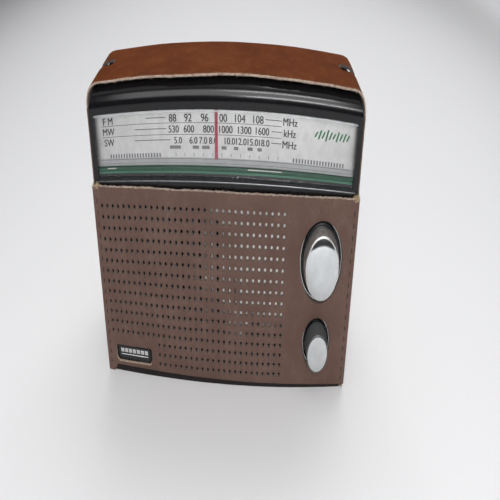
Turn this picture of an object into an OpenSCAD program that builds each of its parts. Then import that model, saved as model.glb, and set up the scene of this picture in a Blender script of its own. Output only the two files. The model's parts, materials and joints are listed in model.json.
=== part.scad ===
// Three-band portable transistor radio in a stitched leather carrying case.
// Origin: middle of the base on the surface it stands on. +X right, +Y back, +Z up.

/* [Leather case] */
// Width of the case over the side gussets
case_w = 225; // [225:1:232]
// Depth of the case from the front panel to the back frame
case_d = 66; // [66:1:70]
// Height over the top band
case_h = 133.4; // [133.4:0.2:136]
// Height of the perforated front panel
panel_h = 91; // [90:0.5:92]
// Thickness of the leather
leather_t = 1.8; // [1.5:0.1:1.8]
// Outer radius of the top band at the two upper corners
band_r = 13; // [11:0.5:16]

/* [Perforation] */
// Distance between neighbouring holes
hole_pitch = 5; // [4.9:0.05:5.1]
// Diameter of one hole
hole_d = 2.2; // [1.6:0.1:2.8]
// Holes in a full row
hole_cols = 32; // [28:1:32]
// Rows of holes
hole_rows = 16; // [14:1:16]

/* [Cabinet] */
// Thickness of the plastic walls
wall = 2.4; // [2:0.1:2.6]
// Gap between the plastic cabinet and the leather
fit = 0.3; // [0.2:0.05:0.4]
// Radius of the long top front edge
front_edge_r = 9; // [7:0.5:9]
// Depth of the aerial rebate at the top of the back
rebate_d = 15; // [14:0.5:16]
// Height of the rebate's floor
rebate_z = 110; // [108:0.5:111]

/* [Dial] */
// Width of the dial lens
lens_w = 212; // [208:1:213]
// Height of the dial lens
lens_h = 26.4; // [25:0.2:27]
// Height of the lens's lower edge
lens_z = 93.7; // [93.4:0.1:94]
// Place of the pointer at rest, left of the middle
pointer_x = -5; // [-8:0.5:-2]
// Radius of the tuning spindle where the string runs
spindle_r = 3; // [2.5:0.1:3]
// Radius of the string drum on the tuning capacitor
drum_r = 25.5; // [24:0.5:26]

/* [Knobs] */
// Distance of both knobs to the right of the middle
knob_x = 83; // [80:0.5:84]
// Height of the tuning knob's axis
tune_z = 62.5; // [61:0.5:64]
// Height of the volume knob's axis
vol_z = 24; // [23:0.5:25]
// Diameter of the tuning knob at its base
tune_d = 30.6; // [28:0.2:32]
// Diameter of the volume knob at its base
vol_d = 20; // [18:0.2:21]

/* [Battery] */
// Diameter of one C cell
cell_d = 26.2; // [25.6:0.1:26.2]
// Length of one C cell
cell_l = 50; // [49:0.1:50]

/* [Aerial] */
// Length of the aerial's outer tube
aerial_l = 152; // [140:1:155]
// Outer diameter of the outer tube
aerial_d = 6.5; // [6:0.1:6.6]

/* [Hidden] */
$fn = 48;

// Case
half_w = case_w / 2;
front_y = -case_d / 2;
back_y = case_d / 2;
base_r = 2;
band_y0 = front_y + 3.4;
lip_y = back_y - rebate_d;
lip_z = rebate_z + 14;
slot_x = half_w - 8.5;
slot_y = -3;
first_hole_x = -104.5;
first_hole_z = 82.5;
short_rows = 3;
short_cols = 9;
badge_x = -85;
badge_z = 10.5;
badge_w = 34.5;
badge_h = 9;
tune_hole_d = 37;
vol_hole_d = 25.2;
frame_x = half_w - 8;
frame_z0 = 20;
frame_z1 = 96;
flap_x = half_w - 4;
flap_z0 = 9;
flap_z1 = 97;
flap_y = back_y + 0.2;
stud_x = 84;
stud_z = 14.5;

// Cabinet
cab_x = half_w - leather_t - fit;
cab_y0 = front_y + leather_t + 0.2;
cab_y1 = back_y - leather_t - 0.2;
cab_z0 = leather_t + 0.2;
cab_z1 = case_h - leather_t - 0.6;
cab_r = band_r - leather_t;
part_y = -2;
rebate_y = lip_y - leather_t - 0.2;
in_y0 = cab_y0 + wall;
in_y1 = cab_y1 - wall;
boss_x = cab_x - 5.2;
boss_z = [12, 100];
boss_y0 = [-30, -26.2];
lug_x = cab_x - 6;
lug_z = cab_z1 - 4.2;
grille_x0 = -106;
grille_x1 = 53;
grille_z0 = 6;
grille_z1 = 86;
plate_t = 0.6;

// Dial
lens_t = 2.6;
lens_y0 = cab_y0 - 0.8;
trim_h = 3.4;
dial_y0 = in_y0 + 1.1;
dial_t = 0.8;
rail_y = -25;
rail_z = 122.9;
pulley_y = -24.2;
pulley_z = 114.6;
pulley_r = 5;
pulley_x = [-62, 70];
drum_x = 50;
string_y = -24.2;
string_d = 0.5;

// Knobs
knob_y1 = cab_y0 + 0.8;
tune_y0 = front_y - 6.8;
vol_y0 = front_y - 7.8;
shaft_d = 6;

// Speaker
speaker_x = -27;
speaker_z = 47;
speaker_d = 84;
magnet_d = 40;

// Electronics
board_y0 = -8;
board_t = 1.6;
board_x0 = 28;
board_x1 = 100;
board_z0 = 6;
board_z1 = 88;
jack_z = 34;
jack_y = -14;
jack_depth = 12.6;
plug_d = 3.6;
power_z = 22;
power_y = 12;
band_z = 84;
band_travel = 9;
band_y = -14;

// Battery
tray_z0 = 23.8;
cell_x0 = -1.5;
cell_y = in_y1 - 0.3 - cell_d / 2;
cell_z = [tray_z0 + 2 + cell_d / 2, tray_z0 + 3.2 + 1.5 * cell_d];
tray_x0 = -5.8;
tray_x1 = 101.2;
tray_z1 = tray_z0 + 58.2;
tray_t = 1.2;
door_z0 = tray_z0 - 1;
door_z1 = door_z0 + 62;
door_travel = 6.5;
door_t = 1.5;

// Aerial
aerial_x = 98;
aerial_y = lip_y + 7.5;
aerial_z = rebate_z + 9;
aerial_bore = 1;
aerial_step = 1.2;

// ---- helpers ----

// Draws a flat (x, z) outline and gives it a depth from y0 to y1
module along_y(y0, y1) {
  translate([0, y1, 0]) rotate([90, 0, 0]) linear_extrude(y1 - y0) children();
}

// Draws a flat (y, z) outline and gives it a length from x0 to x1
module along_x(x0, x1) {
  translate([x0, 0, 0]) rotate([90, 0, 90]) linear_extrude(x1 - x0) children();
}

// Block from one corner to the other
module block(x0, x1, y0, y1, z0, z1) {
  translate([x0, y0, z0]) cube([x1 - x0, y1 - y0, z1 - z0]);
}

module y_rod(x, z, y0, y1, d) {
  translate([x, y1, z]) rotate([90, 0, 0]) cylinder(d = d, h = y1 - y0);
}

module x_rod(y, z, x0, x1, d) {
  translate([x0, y, z]) rotate([0, 90, 0]) cylinder(d = d, h = x1 - x0);
}

// Turned part on an axis along Y; profile points are (radius, distance forward of y)
module turned(x, y, z, points) {
  translate([x, y, z]) rotate([90, 0, 0]) rotate_extrude($fn = 96) polygon(points);
}

// Rectangle with its own radius for the two upper and the two lower corners
module panel_2d(x0, x1, z0, z1, r_top, r_low) {
  translate([x0, z0 + r_low]) square([x1 - x0, z1 - z0 - r_low - r_top]);
  translate([x0 + r_low, z0]) square([x1 - x0 - 2 * r_low, r_low]);
  translate([x0 + r_top, z1 - r_top]) square([x1 - x0 - 2 * r_top, r_top]);
  for (x = [x0 + r_low, x1 - r_low]) translate([x, z0 + r_low]) circle(r = r_low);
  for (x = [x0 + r_top, x1 - r_top]) translate([x, z1 - r_top]) circle(r = r_top, $fn = 96);
}

// Straight piece of string between two points in the plane of the drive
module string_run(a, b) {
  run = b - a;
  translate([a[0], string_y, a[1]]) rotate([0, atan2(run[0], run[1]), 0])
    cylinder(d = string_d, h = norm(run), $fn = 16);
}

// ---- leather case ----

module case_ring_2d() {
  difference() {
    panel_2d(-half_w, half_w, 0, case_h, band_r, base_r);
    panel_2d(-half_w + leather_t, half_w - leather_t, leather_t, case_h - leather_t,
      band_r - leather_t, base_r - leather_t);
  }
}

module perforation() {
  for (row = [0 : hole_rows - 1]) {
    first = row < hole_rows - short_rows ? 0 : short_cols;
    for (col = [first : hole_cols - 1])
      translate([first_hole_x + col * hole_pitch, first_hole_z - row * hole_pitch])
        circle(d = hole_d, $fn = 16);
  }
}

module case_front_panel() {
  color([0.37, 0.28, 0.25]) along_y(front_y, front_y + leather_t) difference() {
    panel_2d(-half_w, half_w, 0, panel_h, 0.6, base_r);
    perforation();
    translate([knob_x, tune_z]) circle(d = tune_hole_d, $fn = 96);
    translate([knob_x, vol_z]) circle(d = vol_hole_d, $fn = 96);
    translate([badge_x - badge_w / 2, badge_z - badge_h / 2])
      panel_2d(0, badge_w, 0, badge_h, 3, 3);
  }
}

// Side wall of the case, cut away behind for the aerial rebate
module gusset(side) {
  x0 = side < 0 ? -half_w : half_w - leather_t;
  color([0.36, 0.24, 0.18]) difference() {
    along_x(x0, x0 + leather_t) polygon([
      [front_y + leather_t, leather_t], [back_y - leather_t, leather_t],
      [back_y - leather_t, rebate_z - 1], [lip_y, rebate_z - 1],
      [lip_y, case_h - band_r], [band_y0, case_h - band_r],
      [band_y0, panel_h], [front_y + leather_t, panel_h]]);
    if (side > 0) {
      x_rod(jack_y, jack_z, x0 - 1, x0 + leather_t + 1, 9);
      block(x0 - 1, x0 + leather_t + 1, band_y - 5, band_y + 5, band_z - band_travel - 5.5, band_z + 5.5);
    }
    else
      x_rod(power_y, power_z, x0 - 1, x0 + leather_t + 1, 11);
  }
}

module case_left_gusset() { gusset(-1); }

module case_right_gusset() { gusset(1); }

module case_bottom_panel() {
  color([0.34, 0.23, 0.18]) along_y(front_y + leather_t, back_y - leather_t) intersection() {
    case_ring_2d();
    translate([-half_w, 0]) square([case_w, leather_t]);
  }
}

// Top band with a D-shaped strap slot over each upper corner and a turned-down rear lip
module case_top_band() {
  color([0.45, 0.24, 0.13]) {
    difference() {
      along_y(band_y0, lip_y) intersection() {
        case_ring_2d();
        translate([-half_w, case_h - band_r]) square([case_w, band_r]);
      }
      for (side = [-1, 1]) translate([side * slot_x, slot_y, case_h - 12]) {
        cylinder(d = 9, h = 14);
        translate([side > 0 ? 0 : -10, -4.5, 0]) cube([10, 9, 14]);
      }
    }
    block(-half_w + band_r, half_w - band_r, lip_y - leather_t, lip_y, lip_z, case_h - leather_t);
  }
}

module case_back_frame() {
  color([0.34, 0.23, 0.18]) along_y(back_y - leather_t, back_y) difference() {
    panel_2d(-half_w, half_w, 0, rebate_z - 1, 2, base_r);
    translate([-frame_x, frame_z0]) square([2 * frame_x, frame_z1 - frame_z0]);
  }
}

// Sewn top edge of the back flap
module case_flap_margin() {
  color([0.37, 0.28, 0.25])
    block(-flap_x, flap_x, flap_y, flap_y + leather_t, flap_z1 + 0.3, flap_z1 + 6);
}

module case_back_flap() {
  color([0.37, 0.28, 0.25]) along_y(flap_y, flap_y + leather_t) difference() {
    panel_2d(-flap_x, flap_x, flap_z0, flap_z1, 0.5, 12);
    for (side = [-1, 1]) translate([side * stud_x, stud_z]) circle(d = 6);
  }
}

module stud_posts() {
  color("silver") for (side = [-1, 1]) {
    y_rod(side * stud_x, stud_z, back_y, back_y + 2.2, 4);
    y_rod(side * stud_x, stud_z, back_y, back_y + 0.15, 8);
  }
}

module stud_caps() {
  color("silver") for (side = [-1, 1])
    turned(side * stud_x, flap_y + leather_t, stud_z,
      [[0, -1.2], [2.4, -1.2], [2.4, -0.8], [5.9, -0.5], [6, 0], [2.6, 0], [2.6, -0.3], [0, -0.3]]);
}

// ---- cabinet ----

// Outline of the cabinet from the side, without the aerial rebate; inset leaves out a wall
module side_2d(y0, y1, inset) {
  r = front_edge_r - inset;
  top = cab_z1 - inset;
  low = cab_z0 + inset;
  front = cab_y0 + inset;
  translate([front, low]) square([y1 - front, top - r - low]);
  translate([front + r, top - r - 1]) square([y1 - front - r, r + 1]);
  translate([front + r, top - r]) circle(r = r, $fn = 128);
}

module cabinet_body(inset) {
  intersection() {
    along_y(cab_y0 - 1, cab_y1 + 1)
      panel_2d(-cab_x + inset, cab_x - inset, cab_z0 + inset, cab_z1 - inset, cab_r - inset, 3 - inset);
    along_x(-cab_x - 1, cab_x + 1) side_2d(cab_y0, cab_y1 - inset, inset);
  }
}

module speaker_opening_2d() {
  intersection() {
    translate([speaker_x, speaker_z]) circle(d = 76, $fn = 96);
    for (x = [-37.5 : 7.5 : 37.5])
      translate([speaker_x + x - 2, speaker_z - 40]) square([4, 80]);
  }
}

module front_cabinet() {
  color([0.05, 0.05, 0.055]) {
    difference() {
      cabinet_body(0);
      difference() {
        cabinet_body(wall);
        for (x = [-boss_x, boss_x], i = [0, 1]) y_rod(x, boss_z[i], boss_y0[i], part_y, 6);
      }
      block(-cab_x - 1, cab_x + 1, part_y, cab_y1 + 1, cab_z0 - 1, cab_z1 + 1);
      along_y(cab_y0 - 1, in_y0 + 1) translate([-lens_w / 2 - 0.1, lens_z - 0.1])
        square([lens_w + 0.2, lens_h + 0.2]);
      block(grille_x0 - 0.2, grille_x1 + 0.2, cab_y0 - 1, cab_y0 + plate_t,
        grille_z0 - 0.2, grille_z1 + 0.2);
      along_y(cab_y0, in_y0 + 1) speaker_opening_2d();
      y_rod(knob_x, tune_z, cab_y0 - 1, cab_y0 + 1.2, tune_hole_d - 1);
      y_rod(knob_x, vol_z, cab_y0 - 1, cab_y0 + 1.2, vol_hole_d - 1);
      for (z = [tune_z, vol_z]) y_rod(knob_x, z, cab_y0 - 1, in_y0 + 1, 7.4);
      for (x = [-boss_x, boss_x], z = boss_z) y_rod(x, z, -20, part_y + 1, 2.8);
      strap_recesses();
      x_rod(jack_y, jack_z, cab_x - wall - 1, cab_x + 1, 6.4);
      block(cab_x - wall - 1, cab_x + 1, band_y - 1.9, band_y + 1.9,
        band_z - band_travel - 2.9, band_z + 2.9);
    }
  }
}

// Pockets under the two strap slots
module strap_recesses() {
  for (side = [-1, 1]) translate([side * (lug_x + 3) - 7.5, slot_y - 7, lug_z - 5]) cube([15, 14, 12]);
}

module rear_cabinet() {
  color([0.06, 0.06, 0.065]) difference() {
    union() {
      difference() {
        cabinet_body(0);
        difference() {
          cabinet_body(wall);
          block(-cab_x, cab_x, rebate_y - wall, cab_y1, rebate_z - wall, cab_z1);
        }
      }
      for (x = [-boss_x, boss_x], z = boss_z) y_rod(x, z, part_y, cab_y1 - 0.1, 7.4);
      strap_pocket_walls();
    }
    block(-cab_x - 1, cab_x + 1, cab_y0 - 1, part_y, cab_z0 - 1, cab_z1 + 1);
    block(-cab_x - 1, cab_x + 1, rebate_y, cab_y1 + 1, rebate_z, cab_z1 + 1);
    for (x = [-boss_x, boss_x], z = boss_z) {
      y_rod(x, z, part_y - 1, cab_y1 + 1, 3.2);
      y_rod(x, z, cab_y1 - 5, cab_y1 + 1, 6);
    }
    strap_recesses();
    block(tray_x0 + 1.3, tray_x1 - 0.3, cab_y1 - door_t, cab_y1 + 1,
      door_z0 - 0.2, door_z1 + door_travel + 0.3);
    block(tray_x0 + 4, tray_x1 - 3, in_y1 - 1, cab_y1, door_z0 + 2, tray_z1 - 1.4);
    x_rod(power_y, power_z, -cab_x - 1, -cab_x + wall + 1, 8.2);
    y_rod(aerial_x, aerial_z, rebate_y - wall - 1, rebate_y + 1, 3);
  }
}

// Walls that close the strap pockets against the inside
module strap_pocket_walls() {
  for (side = [-1, 1]) intersection() {
    translate([side * (lug_x + 3) - 9, part_y, lug_z - 6.6]) cube([18, slot_y + 9 - part_y, 14]);
    cabinet_body(0);
  }
}

module battery_door() {
  color([0.06, 0.06, 0.065]) difference() {
    along_y(cab_y1 - door_t + 0.1, cab_y1)
      panel_2d(tray_x0 + 1.5, tray_x1 - 0.5, door_z0, door_z1, 0.5, 0.5);
    for (i = [0 : 5])
      block(38, 58, cab_y1 - 0.5, cab_y1 + 1, door_z1 - 12 + i * 1.8, door_z1 - 11.2 + i * 1.8);
  }
}

module battery_tray() {
  color([0.12, 0.12, 0.13]) difference() {
    block(tray_x0, tray_x1, cell_y - cell_d / 2 - 1.6, in_y1 - 0.05, tray_z0, tray_z1);
    block(tray_x0 + tray_t, tray_x1 - tray_t, cell_y - cell_d / 2 - 0.4, cab_y1,
      tray_z0 + tray_t, tray_z1 - tray_t);
  }
}

module cells() {
  color([0.75, 0.2, 0.12]) for (z = cell_z, i = [0, 1]) {
    x_rod(cell_y, z, cell_x0 + i * cell_l + 0.05, cell_x0 + (i + 1) * cell_l - 1.5, cell_d);
    x_rod(cell_y, z, cell_x0 + (i + 1) * cell_l - 1.5, cell_x0 + (i + 1) * cell_l - 0.05, 6);
  }
}

module battery_contacts() {
  color("silver") for (z = cell_z) {
    block(tray_x0 + tray_t, tray_x0 + tray_t + 0.4, cell_y - 8, cell_y + 8, z - 8, z + 8);
    x_rod(cell_y, z, tray_x0 + tray_t + 0.4, cell_x0 + 0.05, 10);
    block(tray_x1 - tray_t - 0.4, tray_x1 - tray_t, cell_y - 8, cell_y + 8, z - 8, z + 8);
  }
}

module cabinet_screws() {
  color("silver") for (x = [-boss_x, boss_x], z = boss_z) difference() {
    union() {
      y_rod(x, z, -18, cab_y1 - 5, 2.8);
      y_rod(x, z, cab_y1 - 5, cab_y1 - 3, 5.4);
    }
    block(x - 1.8, x + 1.8, cab_y1 - 4, cab_y1 - 2, z - 0.3, z + 0.3);
    block(x - 0.3, x + 0.3, cab_y1 - 4, cab_y1 - 2, z - 1.8, z + 1.8);
  }
}

// Bright metal grille behind the leather, slotted over the speaker
module grille_plate() {
  color("silver") along_y(cab_y0, cab_y0 + plate_t) difference() {
    panel_2d(grille_x0, grille_x1, grille_z0, grille_z1, 1, 1);
    speaker_opening_2d();
    translate([badge_x - badge_w / 2 + 2, badge_z - badge_h / 2 + 1.5]) square([badge_w - 4, badge_h - 3]);
  }
}

module badge_plate() {
  color([0.04, 0.04, 0.04])
    along_y(cab_y0 - 0.9, cab_y0) translate([badge_x - badge_w / 2 + 0.8, badge_z - badge_h / 2 + 0.6])
      panel_2d(0, badge_w - 1.6, 0, badge_h - 1.2, 2.4, 2.4);
}

// ---- dial ----

module dial_lens() {
  color([0.85, 0.88, 0.88, 0.35]) difference() {
    block(-lens_w / 2, lens_w / 2, lens_y0, lens_y0 + lens_t, lens_z, lens_z + lens_h);
    for (z = [lens_z, lens_z + lens_h]) translate([0, lens_y0, z]) rotate([45, 0, 0])
      cube([lens_w + 2, 1, 1], center = true);
  }
}

module dial_plate() {
  color([0.72, 0.73, 0.72])
    block(-lens_w / 2 - 1, lens_w / 2 + 1, dial_y0, dial_y0 + dial_t,
      lens_z + trim_h + 0.3, lens_z + lens_h + 0.9);
}

module dial_trim() {
  color([0.1, 0.28, 0.2]) block(-lens_w / 2 - 1, lens_w / 2 + 1, in_y0 + 0.1, dial_y0 + dial_t,
    lens_z - 0.6, lens_z + trim_h);
}

// Red hand with the carrier that slides on the rail
module dial_pointer() {
  color([0.75, 0.1, 0.12]) difference() {
    union() {
      block(pointer_x - 0.8, pointer_x + 0.8, dial_y0 - 0.7, dial_y0 - 0.3, lens_z + 6.6, rail_z + 1);
      block(pointer_x - 5, pointer_x + 5, dial_y0 - 0.3, rail_y + 2, lens_z + lens_h + 1.2, rail_z + 1.9);
    }
    x_rod(rail_y, rail_z, pointer_x - 6, pointer_x + 6, 2.2);
  }
}

module pointer_rail() {
  color("silver") {
    x_rod(rail_y, rail_z, -60, 48, 2);
    for (x = [-62, 46]) difference() {
      block(x, x + 4, rail_y - 2, rail_y + 4, lens_z + lens_h + 1, rail_z + 2.4);
      x_rod(rail_y, rail_z, -60, 48, 2);
    }
  }
}

module pulley(x) {
  turned(x, pulley_y + 1.2, pulley_z, [[0.9, 0], [pulley_r + 0.8, 0], [pulley_r - 0.4, 0.9],
    [pulley_r - 0.4, 1.5], [pulley_r + 0.8, 2.4], [0.9, 2.4]]);
}

module left_pulley() { color("white") pulley(pulley_x[0]); }

module right_pulley() { color("white") pulley(pulley_x[1]); }

module pulley_axles() {
  color("silver") for (x = pulley_x) {
    y_rod(x, pulley_z, pulley_y - 1.6, pulley_y + 4, 1.6);
    block(x - 4, x + 4, pulley_y + 4, pulley_y + 5, pulley_z - 8, cab_z1 - wall - 2);
  }
}

module dial_string() {
  color([0.8, 0.8, 0.75]) {
    string_run([pulley_x[0], pulley_z + pulley_r], [pulley_x[1], pulley_z + pulley_r]);
    string_run([pulley_x[1] + pulley_r + 0.4, pulley_z], [drum_x + drum_r - 0.1, tune_z + 6]);
    string_run([pulley_x[0], pulley_z - pulley_r - 0.1],
      [drum_x + drum_r * cos(79), tune_z + drum_r * sin(79)]);
  }
}

module string_drum() {
  color("white") difference() {
    turned(drum_x, -22.7, tune_z, [[0, 0], [drum_r + 1, 0], [drum_r - 1.2, 1],
      [drum_r - 1.2, 2], [drum_r + 1, 3], [4, 3], [4, 4], [0, 4]]);
    for (a = [30 : 60 : 330]) translate([drum_x + 15 * cos(a), 0, tune_z + 15 * sin(a)])
      y_rod(0, 0, -28, -20, 7);
  }
}

module tuning_capacitor() {
  color([0.6, 0.6, 0.6]) {
    block(drum_x - 12, drum_x + 12, -21.4, board_y0, tune_z - 12, tune_z + 12);
    y_rod(drum_x, tune_z, -22.2, -21.4, 9);
  }
}

// ---- knobs and shafts ----

module tuning_shaft() {
  color("silver") {
    y_rod(knob_x, tune_z, tune_y0 + 3.2, string_y - 1.5, shaft_d);
    y_rod(knob_x, tune_z, string_y - 1.5, string_y + 1.5, 2 * spindle_r - 0.6);
    y_rod(knob_x, tune_z, string_y + 1.5, -12, shaft_d);
  }
}

module tuning_bush() {
  color([0.7, 0.6, 0.3]) difference() {
    y_rod(knob_x, tune_z, -20, board_y0, 12);
    y_rod(knob_x, tune_z, -21, -11, shaft_d + 0.3);
  }
}

// Silver cap over a shaft, hollow behind, with a small rim round a flat face
module knob_cap(z, y0, d) {
  l = knob_y1 - 0.9 - y0;
  r = d / 2;
  turned(knob_x, knob_y1 - 0.9, z, [[r - 1.6, 0], [r, 0], [r - 0.8, l - 0.7], [r - 1.4, l],
    [0, l], [0, l - 2], [r - 2.6, l - 2], [r - 1.6, l - 4]]);
}

// Black skirt and hub that hold the cap on its shaft
module knob_skirt(z, y0, d, rim) {
  l = knob_y1 - y0;
  difference() {
    turned(knob_x, knob_y1, z, [[0, 0], [d / 2 + rim, 0], [d / 2 + rim, 0.6], [d / 2 + rim - 0.3, 0.9],
      [5, 0.9], [5, l - 3], [0, l - 3]]);
    y_rod(knob_x, z, y0 + 3.2, knob_y1 + 1, shaft_d);
  }
}

module tuning_knob() { color([0.8, 0.81, 0.81]) knob_cap(tune_z, tune_y0, tune_d); }

module tuning_skirt() { color([0.05, 0.05, 0.05]) knob_skirt(tune_z, tune_y0, tune_d, 1.4); }

module volume_knob() { color([0.8, 0.81, 0.81]) knob_cap(vol_z, vol_y0, vol_d); }

module volume_skirt() { color([0.05, 0.05, 0.05]) knob_skirt(vol_z, vol_y0, vol_d, 0.9); }

module volume_control() {
  color([0.55, 0.55, 0.5]) difference() {
    union() {
      y_rod(knob_x, vol_z, -22, -12, 17);
      block(knob_x - 7, knob_x + 7, -12, board_y0, vol_z - 8, vol_z + 8);
      y_rod(knob_x, vol_z, in_y0 + 0.2, -22, 9);
    }
    y_rod(knob_x, vol_z, cab_y0, -17, shaft_d + 0.3);
  }
}

module volume_shaft() { color("silver") y_rod(knob_x, vol_z, vol_y0 + 3.2, -18, shaft_d); }

// ---- speaker ----

module speaker_frame() {
  color([0.35, 0.36, 0.38]) difference() {
    turned(speaker_x, -11, speaker_z, [[magnet_d / 2 - 6, 0], [magnet_d / 2, 0], [speaker_d / 2 - 5, 13],
      [speaker_d / 2 - 5, 15.6], [speaker_d / 2, 15.6], [speaker_d / 2, 16.8], [speaker_d / 2 - 6.2, 16.8],
      [speaker_d / 2 - 6.2, 13.3], [magnet_d / 2 - 6, 1.2]]);
    for (a = [0 : 60 : 300]) translate([speaker_x, -17, speaker_z]) rotate([0, a, 0])
      translate([-6, -5, 20]) cube([12, 9, 18]);
  }
}

// Paper cone with its rolled edge and dust cap
module speaker_cone() {
  color([0.13, 0.13, 0.13]) {
    turned(speaker_x, -11.4, speaker_z,
      [[11, 1.8], [34, 13.4], [34.6, 15.4], [35.6, 15.4], [34.8, 12.9], [11, 1]]);
    turned(speaker_x, -11.4, speaker_z,
      [[0, 5.4], [4, 5.1], [8, 4], [10.9, 2.2], [10.9, 1.4], [7.8, 3.3], [4, 4.4], [0, 4.7]]);
  }
}

module speaker_magnet() {
  color([0.25, 0.25, 0.26]) {
    y_rod(speaker_x, speaker_z, -10.9, 2, magnet_d);
    y_rod(speaker_x, speaker_z, -12.4, -10.9, 19);
  }
}

// ---- electronics ----

module circuit_board() {
  color([0.55, 0.4, 0.2])
    block(board_x0, board_x1, board_y0, board_y0 + board_t, board_z0, board_z1);
}

module if_cans() {
  color("silver") for (i = [0 : 3])
    block(32 + i * 11, 40 + i * 11, -18, board_y0, 77, 85);
}

module electrolytics() {
  color([0.15, 0.25, 0.5])
    for (p = [[33, 12, 8], [44, 12, 8], [57, 13, 10], [33, 26, 6], [44, 30, 6], [57, 32, 6]])
    y_rod(p[0], p[1], board_y0 - 1.5 * p[2], board_y0, p[2]);
}

module ferrite_rod() { color([0.2, 0.2, 0.22]) x_rod(6, 118.6, -92, 28, 10); }

module ferrite_coil() {
  color([0.75, 0.45, 0.2]) difference() {
    union() {
      x_rod(6, 118.6, -88, -62, 12);
      x_rod(6, 118.6, 2, 16, 12);
    }
    x_rod(6, 118.6, -93, 29, 10);
  }
}

module ferrite_clips() {
  color([0.85, 0.85, 0.8]) for (x = [-54, -10]) difference() {
    block(x - 3, x + 3, 0, 12, 112, cab_z1 - wall);
    x_rod(6, 118.6, -93, 29, 10);
  }
}

module band_switch() {
  color([0.6, 0.6, 0.6])
    block(cab_x - 11, cab_x - wall - 0.2, band_y - 6, board_y0, band_z - band_travel - 5.5, band_z + 5.5);
}

module band_slider() {
  color([0.05, 0.05, 0.05]) {
    block(cab_x - wall, cab_x + 0.3, band_y - 1.5, band_y + 1.5, band_z - 2.5, band_z + 2.5);
    for (i = [-1 : 1]) block(cab_x + 0.3, half_w - 0.2, band_y - 3.5, band_y + 3.5,
      band_z + i * 2.4 - 0.8, band_z + i * 2.4 + 0.8);
    block(cab_x + 0.3, cab_x + 1.1, band_y - 3.5, band_y + 3.5, band_z - 3.2, band_z + 3.2);
  }
}

module earphone_jack() {
  color([0.75, 0.75, 0.75]) difference() {
    union() {
      block(cab_x - 13, cab_x - wall, jack_y - 5, jack_y + 5, jack_z - 5, jack_z + 5);
      x_rod(jack_y, jack_z, cab_x - wall, cab_x + 0.6, 6.2);
    }
    x_rod(jack_y, jack_z, cab_x - jack_depth, cab_x + 1, plug_d);
  }
}

module power_jack() {
  color([0.1, 0.1, 0.1]) difference() {
    union() {
      block(-cab_x + wall, -cab_x + 14, power_y - 5.5, power_y + 5.5, power_z - 5.5, power_z + 5.5);
      x_rod(power_y, power_z, -cab_x + 0.1, -cab_x + wall, 8);
    }
    difference() {
      x_rod(power_y, power_z, -cab_x - 1, -cab_x + 10.5, 5.6);
      x_rod(power_y, power_z, -cab_x + 1.5, -cab_x + 11, 2.1);
    }
  }
}

module strap_pins() {
  color("silver") for (side = [-1, 1]) y_rod(side * lug_x, lug_z, slot_y - 7, slot_y + 7, 3);
}

// ---- aerial ----

module aerial_pivot() {
  color([0.7, 0.7, 0.7]) {
    y_rod(aerial_x, aerial_z, rebate_y - wall - 1.4, lip_y + 1.4, 3);
    y_rod(aerial_x, aerial_z, rebate_y - wall - 2.6, rebate_y - wall, 7);
  }
}

// Turning barrel with two ears round the rod's eye
module aerial_knuckle() {
  color([0.75, 0.75, 0.76]) difference() {
    union() {
      y_rod(aerial_x, aerial_z, lip_y + 0.2, aerial_y - 3.7, 9);
      for (s = [-1, 1]) translate([aerial_x, aerial_y, aerial_z + s * 3.3]) {
        cylinder(d = 7, h = 1.5, center = true);
        translate([-3.5, -4.6, -0.75]) cube([7, 4.6, 1.5]);
      }
      translate([aerial_x, aerial_y, aerial_z - 4]) cylinder(d = 2.2, h = 8);
    }
    y_rod(aerial_x, aerial_z, lip_y - 1, lip_y + 1.6, 3.1);
  }
}

// One hollow tube of the aerial, open towards the tip
module aerial_section(x0, l, d, bore) {
  difference() {
    x_rod(aerial_y, aerial_z, x0 - l, x0, d);
    x_rod(aerial_y, aerial_z, x0 - l - 1, x0 - 3, bore);
  }
}

module aerial_tube_1() {
  color([0.8, 0.8, 0.82]) {
    aerial_section(aerial_x - 6, aerial_l, aerial_d, aerial_d - aerial_bore);
    difference() {
      union() {
        translate([aerial_x, aerial_y, aerial_z]) cylinder(d = 5.6, h = 4.8, center = true);
        translate([aerial_x - 6.5, aerial_y - 2, aerial_z - 2]) cube([5, 4, 4]);
      }
      translate([aerial_x, aerial_y, aerial_z - 4]) cylinder(d = 2.4, h = 8);
    }
  }
}

module aerial_tube_2() {
  color([0.8, 0.8, 0.82])
    aerial_section(aerial_x - 10, aerial_l - 2, aerial_d - aerial_step,
      aerial_d - aerial_step - aerial_bore);
}

module aerial_tube_3() {
  color([0.8, 0.8, 0.82])
    aerial_section(aerial_x - 14, aerial_l - 4, aerial_d - 2 * aerial_step,
      aerial_d - 2 * aerial_step - aerial_bore);
}

module aerial_tube_4() {
  tip_x = aerial_x - 14 - aerial_l + 2;
  color([0.8, 0.8, 0.82]) {
    x_rod(aerial_y, aerial_z, tip_x, aerial_x - 20, aerial_d - 3 * aerial_step);
    x_rod(aerial_y, aerial_z, tip_x - 6, tip_x, aerial_d);
  }
}

module aerial_rest() {
  color([0.08, 0.08, 0.08]) for (x = [-48, 60])
    block(x - 4, x + 4, aerial_y - 4, aerial_y + 4, rebate_z, aerial_z - aerial_d / 2 - 0.2);
}

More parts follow.
